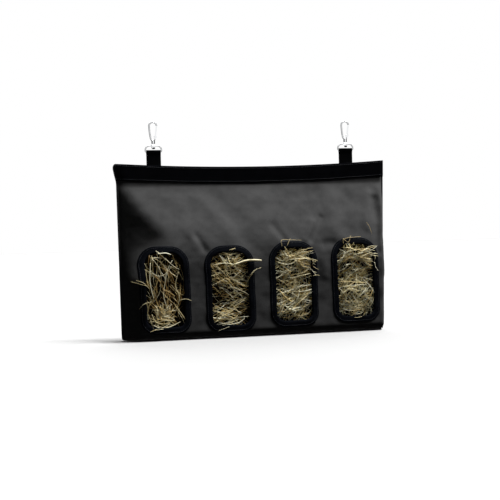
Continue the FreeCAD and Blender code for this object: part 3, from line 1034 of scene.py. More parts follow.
@dataclass
class MouthBand:
    """The strip of black cloth round the mouth: three parts in front and one behind."""

    form: BagForm
    grid: ClothGrid

    def build(self, finishes: Finishes) -> None:
        """Make the front parts and the back band.

        Args:
            finishes: every finish of the bag.
        """
        form, grid = self.form, self.grid
        levels = band_levels(form.band, 7)
        row = int(form.band / grid.step)
        x = grid.points[row, :, 0][None, :] * np.ones((len(levels), 1))
        level = levels[:, None] * np.ones_like(x)
        for side in Side:
            reach = form.half(levels, side) / form.half(np.array(form.band), side)
            end = smoothstep(grid.flap_half, form.half_width, side.value * x)
            x = x * (1.0 + (reach[:, None] - 1.0) * end)
        wave = 0.9 * ripple(x, x * 0.0, 90.0, 21) + 0.4 * ripple(x, x * 0.0, 31.0, 22)
        drop = form.sagged(x, level) + wave * (level / form.band) ** 2
        inner = form.depth(x, drop)
        thick = band_thickness(levels, form.band)[:, None] * np.ones_like(x)
        points = np.stack([x, -(inner + thick), form.top - drop], axis=-1)
        across = np.gradient(points, axis=1)
        down = np.gradient(points, axis=0)
        normals = unit(np.cross(down, across))
        normals *= -np.sign(normals[5, x.shape[1] // 2, 1])
        for part, (start, end) in grid.mouth_parts().items():
            columns = slice(start, end + 1)
            piece = shell(f"mouth_band_front_{part}", points[:, columns], normals[:, columns],
                          thick[:, columns] - 0.04)
            mouth_piece(piece, part, finishes.band,
                        ["top_band_front"] if part == "middle" else [])


@dataclass
class BackCloth:
    """The flat back of the bag and the band sewn along its top."""

    form: BagForm
    front: float = 1.55
    cloth: float = 0.95
    step: float = 4.0
    foot: float = 12.0

    def _grid(self, levels: np.ndarray, proud: float) -> tuple[np.ndarray, np.ndarray]:
        """Return outer places and normals of the back at these levels.

        Args:
            levels: a level for each row.
            proud: how far they stand off the cloth.

        Returns:
            The places and their normals.
        """
        form = self.form
        shares = np.linspace(-1.0, 1.0, int(2 * form.half_width / self.step) + 1)
        rows = []
        for level in levels:
            left, right = form.half(np.array(level), Side.LEFT), form.half(np.array(level), Side.RIGHT)
            rows.append(np.where(shares < 0.0, shares * left, shares * right))
        x = np.array(rows)
        level = levels[:, None] * np.ones_like(x)
        drop = form.sagged(x, level)
        edge = np.minimum(form.half_width - np.abs(x), form.height - drop)
        soft = smoothstep(0.0, 40.0, edge) * smoothstep(20.0, 70.0, drop)
        swell = soft * (2.0 + 1.3 * ripple(x, drop, 120.0, 31) + 0.35 * ripple(x, drop, 30.0, 32))
        y = self.front + self.cloth + proud + np.maximum(swell, 0.0)
        points = np.stack([x, y, form.top - drop], axis=-1)
        normals = unit(np.cross(np.gradient(points, axis=1), np.gradient(points, axis=0)))
        normals *= np.sign(normals[2, x.shape[1] // 2, 1])
        return points, normals

    def build(self, finishes: Finishes) -> None:
        """Make the back and its band.

        Args:
            finishes: every finish of the bag.
        """
        form = self.form
        corner = np.linspace(0.0, self.foot, 7)[1:]
        levels = np.concatenate([np.arange(0.6, form.height - self.foot, self.step),
                                 form.height - self.foot + corner])
        points, normals = self._grid(levels, 0.0)
        back = shell("back_cloth", points, normals, self.cloth)
        finish_piece(back, "pouch", finishes.oxford, ["back_panel"])
        levels = band_levels(form.band, 6)
        thick = band_thickness(levels, form.band)
        points, normals = self._grid(levels, 0.02)
        points[..., 1] += thick[:, None]
        band = shell("mouth_band_back", points, normals, thick[:, None] * np.ones(points.shape[:2]))
        finish_piece(band, "pouch", finishes.band, ["top_band_back"])


def strip_map(mesh: bpy.types.Mesh, places: np.ndarray) -> None:
    """Write a piece's strip map: the run along it and the place across it, in metres.

    Args:
        mesh: the piece's mesh.
        places: the run and the place across of each vertex, in millimetres.
    """
    layer = mesh.uv_layers.new(name="strip")
    corners = np.zeros(len(mesh.loops), dtype=np.int32)
    mesh.loops.foreach_get("vertex_index", corners)
    layer.data.foreach_set("uv", (places[corners] * MM).astype(np.float32).reshape(-1))


@dataclass
class WindowBinding:
    """The tape folded over one window's edge, sewn through near its outer side."""

    form: BagForm
    window: Window
    width: float = 11.0
    rear_width: float = 9.0
    tape: float = 1.2
    cloth: float = 1.0

    def _section(self) -> list[tuple[float, float]]:
        """Return the folded tape's section: distance in from the outer edge, and height."""
        width, tape, cloth = self.width, self.tape, self.cloth
        rear = width - self.rear_width
        front = [(0.0, 0.05), (0.05, tape * 0.62), (0.7, tape * 0.95), (2.0, tape * 1.0),
                 (3.2, tape * 0.9), (5.5, tape * 1.25), (width - 2.2, tape * 1.3),
                 (width - 0.9, tape * 1.1), (width - 0.2, tape * 0.55)]
        fold = [(width, -0.3), (width, -cloth - 0.4)]
        back = [(width - 0.5, -cloth - tape * 0.8), (width - 2.0, -cloth - tape),
                (rear + 0.6, -cloth - tape), (rear, -cloth - 0.6), (rear, -cloth - 0.05)]
        inside = [(width - 1.9, -cloth - 0.05), (width - 1.9, 0.05)]
        return front + fold + back + inside

    def build(self, finishes: Finishes) -> None:
        """Sweep the section round the window, over the cloth's own form.

        Args:
            finishes: every finish of the bag.
        """
        section = self._section()
        middle = self.window.outline(0.0)
        count = len(middle)
        tangent = unit(np.roll(middle, -1, axis=0) - np.roll(middle, 1, axis=0))
        inward = np.stack([-tangent[:, 1], tangent[:, 0]], axis=1)
        centre = middle.mean(axis=0)
        inward *= np.sign(np.sum(inward * (centre - middle), axis=1, keepdims=True))
        run = np.concatenate([[0.0], np.cumsum(np.hypot(*np.diff(middle, axis=0).T))])
        pucker = 1.0 + 0.10 * ripple(run, run * 0.0, 17.0, 60 + self.window.index)
        points, strip = [], []
        for inset, height in section:
            place = middle + inward * inset
            depth = self.form.depth(place[:, 0], place[:, 1])
            lift = height * np.where(height > 0.0, pucker, 1.0)
            points.append(np.stack([place[:, 0], -(depth + lift), self.form.top - place[:, 1]], axis=1))
            strip.append(np.stack([run, np.full(count, inset + (0.0 if height > 0 else 12.0))], axis=1))
        piece = mesh_object(f"window_tape_{self.window.index}", np.array(points).reshape(-1, 3),
                            swept_faces(len(section), count, True))
        outward_faces(piece)
        strip_map(piece.data, np.array(strip).reshape(-1, 2))
        finish_piece(piece, "pouch", finishes.tape,
                     [f"window_binding_{self.window.index}"])


def swept_faces(sides: int, count: int, closed: bool, start: int = 0) -> list[list[int]]:
    """Return the faces of a section swept along a line.

    Args:
        sides: how many places there are round the section.
        count: how many places there are along the line.
        closed: whether the line comes back to its start; an open one is capped.
        start: the first place's number.

    Returns:
        The vertex numbers of each face.
    """
    faces = []
    for k in range(sides):
        near, far = start + k * count, start + (k + 1) % sides * count
        for j in range(count if closed else count - 1):
            after = (j + 1) % count
            faces.append([near + j, near + after, far + after, far + j])
    if not closed:
        faces.append([start + k * count for k in range(sides)])
        faces.append([start + k * count + count - 1 for k in reversed(range(sides))])
    return faces


def outward_faces(piece: Piece) -> None:
    """Turn a closed piece's faces outwards.

    Args:
        piece: the piece, which is changed.
    """
    mesh = bmesh.new()
    mesh.from_mesh(piece.data)
    bmesh.ops.recalc_face_normals(mesh, faces=mesh.faces)
    mesh.to_mesh(piece.data)
    mesh.free()


# ---------------------------------------------------------------- what repeats

class NodeGraph:
    """A Geometry Nodes tree with named inputs, built in short calls."""

    def __init__(self, name: str) -> None:
        """Start a tree that takes and gives a geometry.

        Args:
            name: the tree's name.
        """
        self.tree = bpy.data.node_groups.new(name, "GeometryNodeTree")
        self.tree.is_modifier = True
        self.tree.interface.new_socket("Geometry", in_out="INPUT", socket_type="NodeSocketGeometry")
        self.tree.interface.new_socket("Geometry", in_out="OUTPUT", socket_type="NodeSocketGeometry")
        self.inlet = self.tree.nodes.new("NodeGroupInput")
        self.outlet = self.tree.nodes.new("NodeGroupOutput")

    def number(self, name: str, value: float) -> None:
        """Add a number input."""
        made = self.tree.interface.new_socket(name, in_out="INPUT", socket_type="NodeSocketFloat")
        made.default_value = value

    def whole(self, name: str, value: int) -> None:
        """Add a whole-number input."""
        made = self.tree.interface.new_socket(name, in_out="INPUT", socket_type="NodeSocketInt")
        made.default_value = value

    def finish(self) -> None:
        """Add the material input."""
        self.tree.interface.new_socket("Finish", in_out="INPUT", socket_type="NodeSocketMaterial")

    def take(self, name: str) -> Socket:
        """Return an input's socket inside the tree."""
        return self.inlet.outputs[name]

    def node(self, kind: str, inputs: dict[str | int, object] | None = None, **settings: object
             ) -> bpy.types.Node:
        """Add a node, set its properties and fill its inputs.

        Args:
            kind: the node's type name.
            inputs: values or sockets by input name or number.
            settings: properties of the node.

        Returns:
            The new node.
        """
        made = self.tree.nodes.new(kind)
        for key, value in settings.items():
            setattr(made, key, value)
        for key, value in (inputs or {}).items():
            socket = made.inputs[key]
            if isinstance(value, Socket):
                self.tree.links.new(value, socket)
            else:
                socket.default_value = value
        return made

    def random(self, low: object, high: object, seed: object, shift: int) -> Socket:
        """Add a random number for each element.

        Args:
            low: the lowest, a number or a socket.
            high: the highest, a number or a socket.
            seed: the tree's seed socket.
            shift: what is added to the seed, so that draws differ.

        Returns:
            The number's socket.
        """
        shifted = self.node("ShaderNodeMath", {0: seed, 1: float(shift)}, operation="ADD")
        made = self.node("FunctionNodeRandomValue", data_type="FLOAT")
        floats = [socket for socket in made.inputs if socket.type == "VALUE" and socket.enabled]
        for socket, value in zip(floats, (low, high)):
            if isinstance(value, Socket):
                self.tree.links.new(value, socket)
            else:
                socket.default_value = value
        self.tree.links.new(shifted.outputs[0], made.inputs["Seed"])
        return next(socket for socket in made.outputs if socket.type == "VALUE" and socket.enabled)

    def end(self, geometry: Socket) -> None:
        """Realize, dress and give the geometry.

        Args:
            geometry: what the tree has made.
        """
        real = self.node("GeometryNodeRealizeInstances", {0: geometry})
        smooth = self.node("GeometryNodeSetShadeSmooth", {"Geometry": real.outputs[0]})
        dressed = self.node("GeometryNodeSetMaterial",
                            {"Geometry": smooth.outputs[0], "Material": self.take("Finish")})
        self.tree.links.new(dressed.outputs[0], self.outlet.inputs[0])

    def grow(self, name: str, guide: Piece, values: dict[str, object]) -> Piece:
        """Run the tree on a guide and keep the result as a plain mesh.

        Args:
            name: the new piece's name.
            guide: the object that the tree grows from, which is removed.
            values: the tree's inputs by name.

        Returns:
            The new piece.
        """
        modifier = guide.modifiers.new(name, "NODES")
        modifier.node_group = self.tree
        for item in self.tree.interface.items_tree:
            if item.item_type == "SOCKET" and item.in_out == "INPUT" and item.name in values:
                modifier[item.identifier] = values[item.name]
        guide.update_tag()
        bpy.context.view_layer.update()
        evaluated = guide.evaluated_get(bpy.context.evaluated_depsgraph_get())
        mesh = bpy.data.meshes.new_from_object(evaluated)
        mesh.name = name
        mesh.materials.clear()
        mesh.materials.append(values["Finish"])
        guide.modifiers.clear()
        bpy.data.objects.remove(guide)
        return linked(name, mesh)


def stitch_graph() -> NodeGraph:
    """Return the tree that lays stitches end to end along its guide lines."""
    graph = NodeGraph("stitch_rows")
    graph.number("Spacing", 4.0 * MM)
    graph.number("Stitch Length", 3.0 * MM)
    graph.number("Thread Radius", 0.33 * MM)
    graph.whole("Seed", 1)
    graph.finish()
    curve = graph.node("GeometryNodeMeshToCurve", {"Mesh": graph.take("Geometry")})
    rows = graph.node("GeometryNodeResampleCurve",
                      {"Curve": curve.outputs[0], "Length": graph.take("Spacing")}, mode="LENGTH")
    tangent = graph.node("GeometryNodeInputTangent")
    turn = graph.node("FunctionNodeAlignEulerToVector", {"Vector": tangent.outputs[0]}, axis="X")
    ball = graph.node("GeometryNodeMeshUVSphere", {"Segments": 6, "Rings": 4, "Radius": 1.0})
    half = graph.node("ShaderNodeMath", {0: graph.take("Stitch Length"), 1: 0.5}, operation="MULTIPLY")
    size = graph.node("ShaderNodeCombineXYZ", {0: half.outputs[0], 1: graph.take("Thread Radius"),
                                               2: graph.take("Thread Radius")})
    uneven = graph.random(0.85, 1.12, graph.take("Seed"), 0)
    sized = graph.node("ShaderNodeVectorMath", {0: size.outputs[0]}, operation="SCALE")
    graph.tree.links.new(uneven, sized.inputs["Scale"])
    laid = graph.node("GeometryNodeInstanceOnPoints",
                      {"Points": rows.outputs[0], "Instance": ball.outputs[0],
                       "Rotation": turn.outputs[0], "Scale": sized.outputs[0]})
    graph.end(laid.outputs[0])
    return graph


def guide_lines(name: str, lines: Sequence[np.ndarray], closed: bool) -> Piece:
    """Make an object of loose lines, in millimetres, for a tree to follow.

    Args:
        name: the guide's name.
        lines: the places of each line.
        closed: whether each line comes back to its start.

    Returns:
        The guide.
    """
    points, edges = [], []
    for line in lines:
        start = len(points)
        points += (np.asarray(line) * MM).tolist()
        edges += [(start + k, start + k + 1) for k in range(len(line) - 1)]
        if closed:
            edges.append((start + len(line) - 1, start))
    mesh = bpy.data.meshes.new(name)
    mesh.from_pydata(points, edges, [])
    return linked(name, mesh)


@dataclass
class Stitching:
    """Every row of stitches on the bag, one piece for each body that rows ride on."""

    form: BagForm
    grid: ClothGrid
    spacing: float = 3.6
    length: float = 3.0
    radius: float = 0.32
    tape_inset: float = 2.6
    tape_proud: float = 1.25
    band_inset: float = 2.6
    band_proud: float = 1.3
    mouth_inset: float = 3.0
    seam_inset: float = 1.9
    foot_inset: float = 3.0
    back_face: float = 2.65
    back_band_face: float = 3.82
    box_face: float = 3.84
    box_half: float = 9.0

    def _band_levels(self) -> tuple[float, float]:
        """Return the levels of the two rows on the band."""
        return self.form.band - self.band_inset, self.mouth_inset

    def _front(self, x: np.ndarray, level: np.ndarray, proud: float) -> np.ndarray:
        """Return places on the front at these levels.

        Args:
            x: places across.
            level: the row's level.
            proud: how far it stands off the cloth.

        Returns:
            The row's places.
        """
        x, level = np.broadcast_arrays(np.asarray(x, float), np.asarray(level, float))
        drop = self.form.sagged(x, level)
        return np.stack([x, -(self.form.depth(x, drop) + proud), self.form.top - drop], axis=1)

    def _rows(self) -> dict[str, tuple[list[np.ndarray], bool]]:
        """Return the guide lines of each piece, and whether they are closed."""
        form = self.form
        tapes = []
        for window in form.windows:
            ring = window.outline(self.tape_inset)
            depth = form.depth(ring[:, 0], ring[:, 1]) + self.tape_proud
            tapes.append(np.stack([ring[:, 0], -depth, form.top - ring[:, 1]], axis=1))
        middle = np.arange(-self.grid.flap_half + 2.0, self.grid.flap_half - 1.0, 2.0)
        band = [self._front(middle, level, self.band_proud) for level in self._band_levels()]
        sides = []
        for side in Side:
            levels = np.arange(form.band + 5.0, form.height - 14.0, 3.0)
            half = form.half(levels, side) - self.seam_inset
            depth = form.depth(side.value * half, levels) + 0.1
            sides.append(np.stack([side.value * half, -depth, form.top - levels], axis=1))
        foot_x = np.arange(-form.half_width + 24.0, form.half_width - 20.0, 3.0)
        foot_height = form.top - form.height + self.foot_inset
        back_rows = [np.stack([foot_x, np.full_like(foot_x, self.back_face),
                               np.full_like(foot_x, foot_height)], axis=1)]
        for level in self._band_levels():
            x = np.arange(-form.half_width + 6.0, form.half_width - 5.0, 3.0)
            drop = form.sagged(x, np.full_like(x, level))
            back_rows.append(np.stack([x, np.full_like(x, self.back_band_face), form.top - drop], axis=1))
        return {"tape_stitches": (tapes, True), "band_stitches_middle": (band, False),
                "seam_stitches": (sides + back_rows, False)}

    def _box_rows(self) -> list[np.ndarray]:
        """Return the sewn box and cross that hold each tab, on the back band."""
        rows = []
        for side in Side:
            low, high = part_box(f"tab_{side.label}")
            centre, half = (low.x + high.x) / 2 / MM, self.box_half
            top, foot = self.form.top - 9.5, self.form.top - 22.5
            left, right, y = centre - half, centre + half, self.box_face
            corners = [(left, top), (right, top), (right, foot), (left, foot), (left, top),
                       (right, foot), (right, top), (left, foot)]
            for (x0, z0), (x1, z1) in zip(corners, corners[1:]):
                share = np.linspace(0.0, 1.0, max(4, int(math.hypot(x1 - x0, z1 - z0) / 2.0)))
                rows.append(np.stack([x0 + (x1 - x0) * share, np.full_like(share, y),
                                      z0 + (z1 - z0) * share], axis=1))
        return rows

    def _lay(self, graph: NodeGraph, name: str, lines: Sequence[np.ndarray], closed: bool,
             seed: int, thread: Material) -> Piece:
        """Lay one piece's stitches.

        Args:
            graph: the tree that lays them.
            name: the piece's name.
            lines: its guide lines.
            closed: whether each line comes back to its start.
            seed: the number that fixes their unevenness.
            thread: the finish.

        Returns:
            The piece.
        """
        return graph.grow(name, guide_lines(name, lines, closed), {
            "Spacing": self.spacing * MM, "Stitch Length": self.length * MM,
            "Thread Radius": self.radius * MM, "Seed": seed, "Finish": thread})

    def build(self, finishes: Finishes) -> None:
        """Lay the stitches of every row.

        Args:
            finishes: every finish of the bag.
        """
        graph = stitch_graph()
        rows = self._rows()
        rows["seam_stitches"] = (rows["seam_stitches"][0] + self._box_rows(), False)
        bodies = {"band_stitches_middle": "mouth_front"}
        for number, (name, (lines, closed)) in enumerate(rows.items()):
            piece = self._lay(graph, name, lines, closed, number + 1, finishes.thread)
            finish_piece(piece, bodies.get(name, "pouch"), finishes.thread)
        middle = self.grid.flap_half
        for side in Side:
            x = side.value * np.arange(middle + 1.0, self.form.half_width - 5.0, 2.0)
            lines = [self._front(x, level, self.band_proud) for level in self._band_levels()]
            name = f"band_stitches_{side.label}"
            piece = self._lay(graph, name, lines, False, 7 + side.value, finishes.thread)
            piece.data.materials.clear()
            mouth_piece(piece, side.label, finishes.thread, [])


# ---------------------------------------------------------------- hay

@dataclass(frozen=True)
class HayLay:
    """How the hay lies in one window."""

    stalks: int
    lean: float
    spread: float
    depth: float
    tone_low: float
    tone_high: float
    seed: int
    pinch_drop: float = 0.0
    pinch: float = 0.0


def hay_graph() -> NodeGraph:
    """Return the tree that strews stalks over a bed."""
    graph = NodeGraph("strewn_stalks")
    for name, value in (("Density", 1e5), ("Lean", 0.0), ("Spread", 0.6), ("Depth", 6.0 * MM),
                        ("Smallest", 0.45), ("Largest", 1.1), ("Dark", 0.0), ("Pale", 1.0)):
        graph.number(name, value)
    graph.whole("Seed", 1)
    graph.finish()
    seed = graph.take("Seed")
    strewn = graph.node("GeometryNodeDistributePointsOnFaces",
                        {"Mesh": graph.take("Geometry"), "Density": graph.take("Density"), "Seed": seed},
                        distribute_method="RANDOM")
    inward = graph.random(0.8 * MM, graph.take("Depth"), seed, 11)
    shift = graph.node("ShaderNodeCombineXYZ", {1: inward})
    moved = graph.node("GeometryNodeSetPosition",
                       {"Geometry": strewn.outputs["Points"], "Offset": shift.outputs[0]})
    kinds = []
    # Each kind: half length, bow across, bow forward, radius and flatness.
    for half, bow, forward, radius, flat in ((20.0, 4.0, 3.0, 0.58, 0.8), (16.0, -10.0, 5.0, 0.50, 0.9),
                                             (21.0, 14.0, 3.0, 0.44, 1.0), (13.0, 5.0, 5.0, 0.80, 0.45),
                                             (18.0, -15.0, 6.0, 0.36, 1.0), (10.0, 3.0, 2.0, 0.66, 0.6)):
        line = graph.node("GeometryNodeCurveQuadraticBezier", {
            "Resolution": 7, "Start": (-half * MM, 0.0, 0.0),
            "Middle": (0.0, -forward * MM, bow * MM), "End": (half * MM, 0.0, 0.0)})
        ring = graph.node("GeometryNodeCurvePrimitiveCircle", {"Resolution": 4, "Radius": radius * MM})
        pressed = graph.node("GeometryNodeTransform",
                             {"Geometry": ring.outputs["Curve"], "Scale": (1.0, flat, 1.0)})
        stalk = graph.node("GeometryNodeCurveToMesh",
                           {"Curve": line.outputs[0], "Profile Curve": pressed.outputs[0],
                            "Fill Caps": True})
        kinds.append(graph.node("GeometryNodeGeometryToInstance", {0: stalk.outputs[0]}).outputs[0])
    join = graph.node("GeometryNodeJoinGeometry")
    for kind in kinds:
        graph.tree.links.new(kind, join.inputs[0])
    spread = graph.take("Spread")
    against = graph.node("ShaderNodeMath", {0: spread, 1: -1.0}, operation="MULTIPLY")
    swing = graph.random(against.outputs[0], spread, seed, 3)
    lean = graph.node("ShaderNodeMath", {0: graph.take("Lean"), 1: swing}, operation="ADD")
    angles = graph.node("ShaderNodeCombineXYZ", {0: graph.random(-1.6, 1.6, seed, 5),
                                                 1: lean.outputs[0],
                                                 2: graph.random(-0.15, 0.15, seed, 7)})
    turn = graph.node("FunctionNodeEulerToRotation", {0: angles.outputs[0]})
    size = graph.random(graph.take("Smallest"), graph.take("Largest"), seed, 9)
    which = graph.node("FunctionNodeRandomValue", data_type="INT")
    whole = [socket for socket in which.inputs if socket.type == "INT" and socket.enabled]
    whole[0].default_value, whole[1].default_value = 0, len(kinds) - 1
    graph.tree.links.new(seed, which.inputs["Seed"])
    picked = next(socket for socket in which.outputs if socket.type == "INT" and socket.enabled)
    laid = graph.node("GeometryNodeInstanceOnPoints",
                      {"Points": moved.outputs[0], "Instance": join.outputs[0], "Pick Instance": True,
                       "Instance Index": picked, "Rotation": turn.outputs[0], "Scale": size})
    tone = graph.random(graph.take("Dark"), graph.take("Pale"), seed, 13)
    toned = graph.node("GeometryNodeStoreNamedAttribute",
                       {"Geometry": laid.outputs[0], "Name": "tone"},
                       data_type="FLOAT", domain="INSTANCE")
    value = next(socket for socket in toned.inputs if socket.name == "Value" and socket.enabled)
    graph.tree.links.new(tone, value)
    graph.end(toned.outputs[0])
    return graph


@dataclass(frozen=True)
class Wisp:
    """One listed stalk: places across and up from a window's middle, and how far proud."""

    window: int
    places: tuple[tuple[float, float], ...]
    proud: float = 1.5
    radius: float = 0.7
    tone: float = 0.85


WISPS = (
    Wisp(1, ((-24, 46), (-25, 36), (-26, 18), (-23, -2), (-20, -14)), 0.2, 0.8, 0.95),
    Wisp(1, ((-24, 48), (-18, 55), (-4, 54)), 0.2, 0.55, 0.8),
    Wisp(1, ((14, 50), (4, 32), (0, 12), (-3, -10), (4, -34)), -0.4, 0.75, 0.92),
    Wisp(1, ((-14, 67), (2, 52), (18, 38), (26, 34)), -0.2, 0.7, 0.85),
    Wisp(1, ((-12, 61), (2, 62), (12, 59)), 0.6, 1.2, 1.05),
    Wisp(1, ((24, 30), (18, 8), (24, -14), (16, -40)), -0.4, 0.6, 0.8),
    Wisp(1, ((-26, 34), (-12, 24), (2, 28), (14, 42)), 0.0, 0.55, 0.88),
    Wisp(1, ((-55, 16), (-44, 12), (-30, 8)), 2.4, 0.4, 0.6),
    Wisp(1, ((-48, 18), (-38, 14), (-28, 4)), 2.4, 0.4, 0.65),
    Wisp(1, ((-24, -18), (-38, -22), (-45, -30)), 2.2, 0.4, 0.7),
    Wisp(1, ((22, -18), (34, -16), (44, -19)), 2.2, 0.45, 0.7),
    Wisp(1, ((-22, -58), (-8, -64), (8, -61), (24, -54)), 1.4, 1.0, 0.88),
    Wisp(1, ((-24, -40), (-16, -54), (4, -62)), 0.8, 0.6, 0.7),
    Wisp(2, ((-20, -57), (-4, -61), (14, -58), (24, -51)), 1.0, 0.8, 0.9),
    Wisp(2, ((6, 40), (26, 46), (42, 47), (55, 46)), 3.4, 2.1, 0.74),
    Wisp(2, ((-6, 60), (-2, 48), (4, 38)), 1.0, 1.0, 0.7),
    Wisp(2, ((-18, 58), (-12, 48), (-4, 36)), 1.0, 0.8, 0.95),
    Wisp(2, ((30, 16), (40, 28), (54, 34)), 2.8, 0.5, 0.8),
    Wisp(2, ((28, 8), (36, 22), (46, 32)), 2.6, 0.4, 0.75),
    Wisp(2, ((-18, 63), (0, 60), (18, 58), (30, 58)), 0.2, 0.6, 0.95),
    Wisp(3, ((-20, 64), (-20, 76), (-2, 76), (16, 75)), 1.6, 0.32, 0.45),
    Wisp(3, ((-12, 64), (-4, 78)), 1.8, 0.32, 0.5),
    Wisp(3, ((8, 26), (24, 30), (36, 18), (40, 12)), 2.2, 0.5, 0.9),
    Wisp(3, ((28, 12), (40, 14), (46, 13)), 2.2, 0.4, 0.7),
    Wisp(4, ((-20, 62), (-21, 72), (-12, 66), (-6, 77)), 1.6, 0.36, 0.55),
    Wisp(4, ((-21, 72), (-8, 74), (12, 75)), 1.6, 0.32, 0.45),
    Wisp(4, ((26, 100), (31, 90), (34, 78)), 1.4, 0.24, 0.30),
    Wisp(4, ((20, 46), (32, 52), (42, 58)), 2.2, 0.5, 0.85),
    Wisp(4, ((22, 34), (34, 30), (36, 22), (42, 14)), 2.3, 0.5, 0.95),
    Wisp(4, ((16, 52), (30, 46), (42, 44)), 2.1, 0.5, 0.8),
    Wisp(4, ((24, 40), (36, 40), (34, 30)), 2.2, 0.4, 0.85),
)


@dataclass(frozen=True)
class Tuft:
    """A spray of stalks that comes out of a window: where it roots, its way and its spread."""

    window: int
    x: float
    z: float
    way: float
    spread: float
    reach: float
    stalks: int
    proud: float = 2.6

    def wisps(self) -> list[Wisp]:
        """Return the spray's stalks."""
        rng = np.random.default_rng(200 + self.window * 7 + self.stalks)
        made = []
        for _ in range(self.stalks):
            way = math.radians(self.way + rng.uniform(-self.spread, self.spread))
            reach = self.reach * rng.uniform(0.55, 1.05)
            root_x, root_z = self.x + rng.uniform(-9.0, 3.0), self.z + rng.uniform(-10.0, 10.0)
            bow = rng.uniform(-0.16, 0.16) * reach
            places = tuple(self._place(root_x, root_z, way, reach * share, bow * math.sin(math.pi * share))
                           for share in (0.0, 0.35, 0.7, 1.0))
            made.append(Wisp(self.window, places, self.proud * rng.uniform(0.3, 1.2),
                             rng.uniform(0.30, 0.62), rng.uniform(0.35, 0.98)))
        return made

    @staticmethod
    def _place(x: float, z: float, way: float, run: float, aside: float) -> tuple[float, float]:
        """Return the place that lies a run along a way from a root, and some way aside of it."""
        return (x + run * math.cos(way) - aside * math.sin(way),
                z + run * math.sin(way) + aside * math.cos(way))


TUFTS = (
    Tuft(3, 11.0, 44.0, -4.0, 32.0, 33.0, 34),
    Tuft(4, 14.0, 44.0, -5.0, 40.0, 27.0, 34),
    Tuft(4, -6.0, 46.0, 130.0, 100.0, 17.0, 22, 1.6),
    Tuft(3, -6.0, 46.0, 130.0, 100.0, 16.0, 20, 1.4),
    Tuft(2, -6.0, 52.0, -10.0, 60.0, 24.0, 14, 1.2),
    Tuft(2, 8.0, 40.0, 10.0, 50.0, 22.0, 14, 1.2),
    Tuft(1, -2.0, -46.0, 60.0, 80.0, 26.0, 26, 0.8),
    Tuft(1, -4.0, -52.0, 120.0, 50.0, 26.0, 14, 0.8),
    Tuft(1, 14.0, -54.0, 184.0, 24.0, 34.0, 15, 1.5),
    Tuft(2, 16.0, -52.0, 180.0, 22.0, 34.0, 16, 1.3),
    Tuft(4, 16.0, -54.0, 180.0, 26.0, 32.0, 12, 1.2),
)


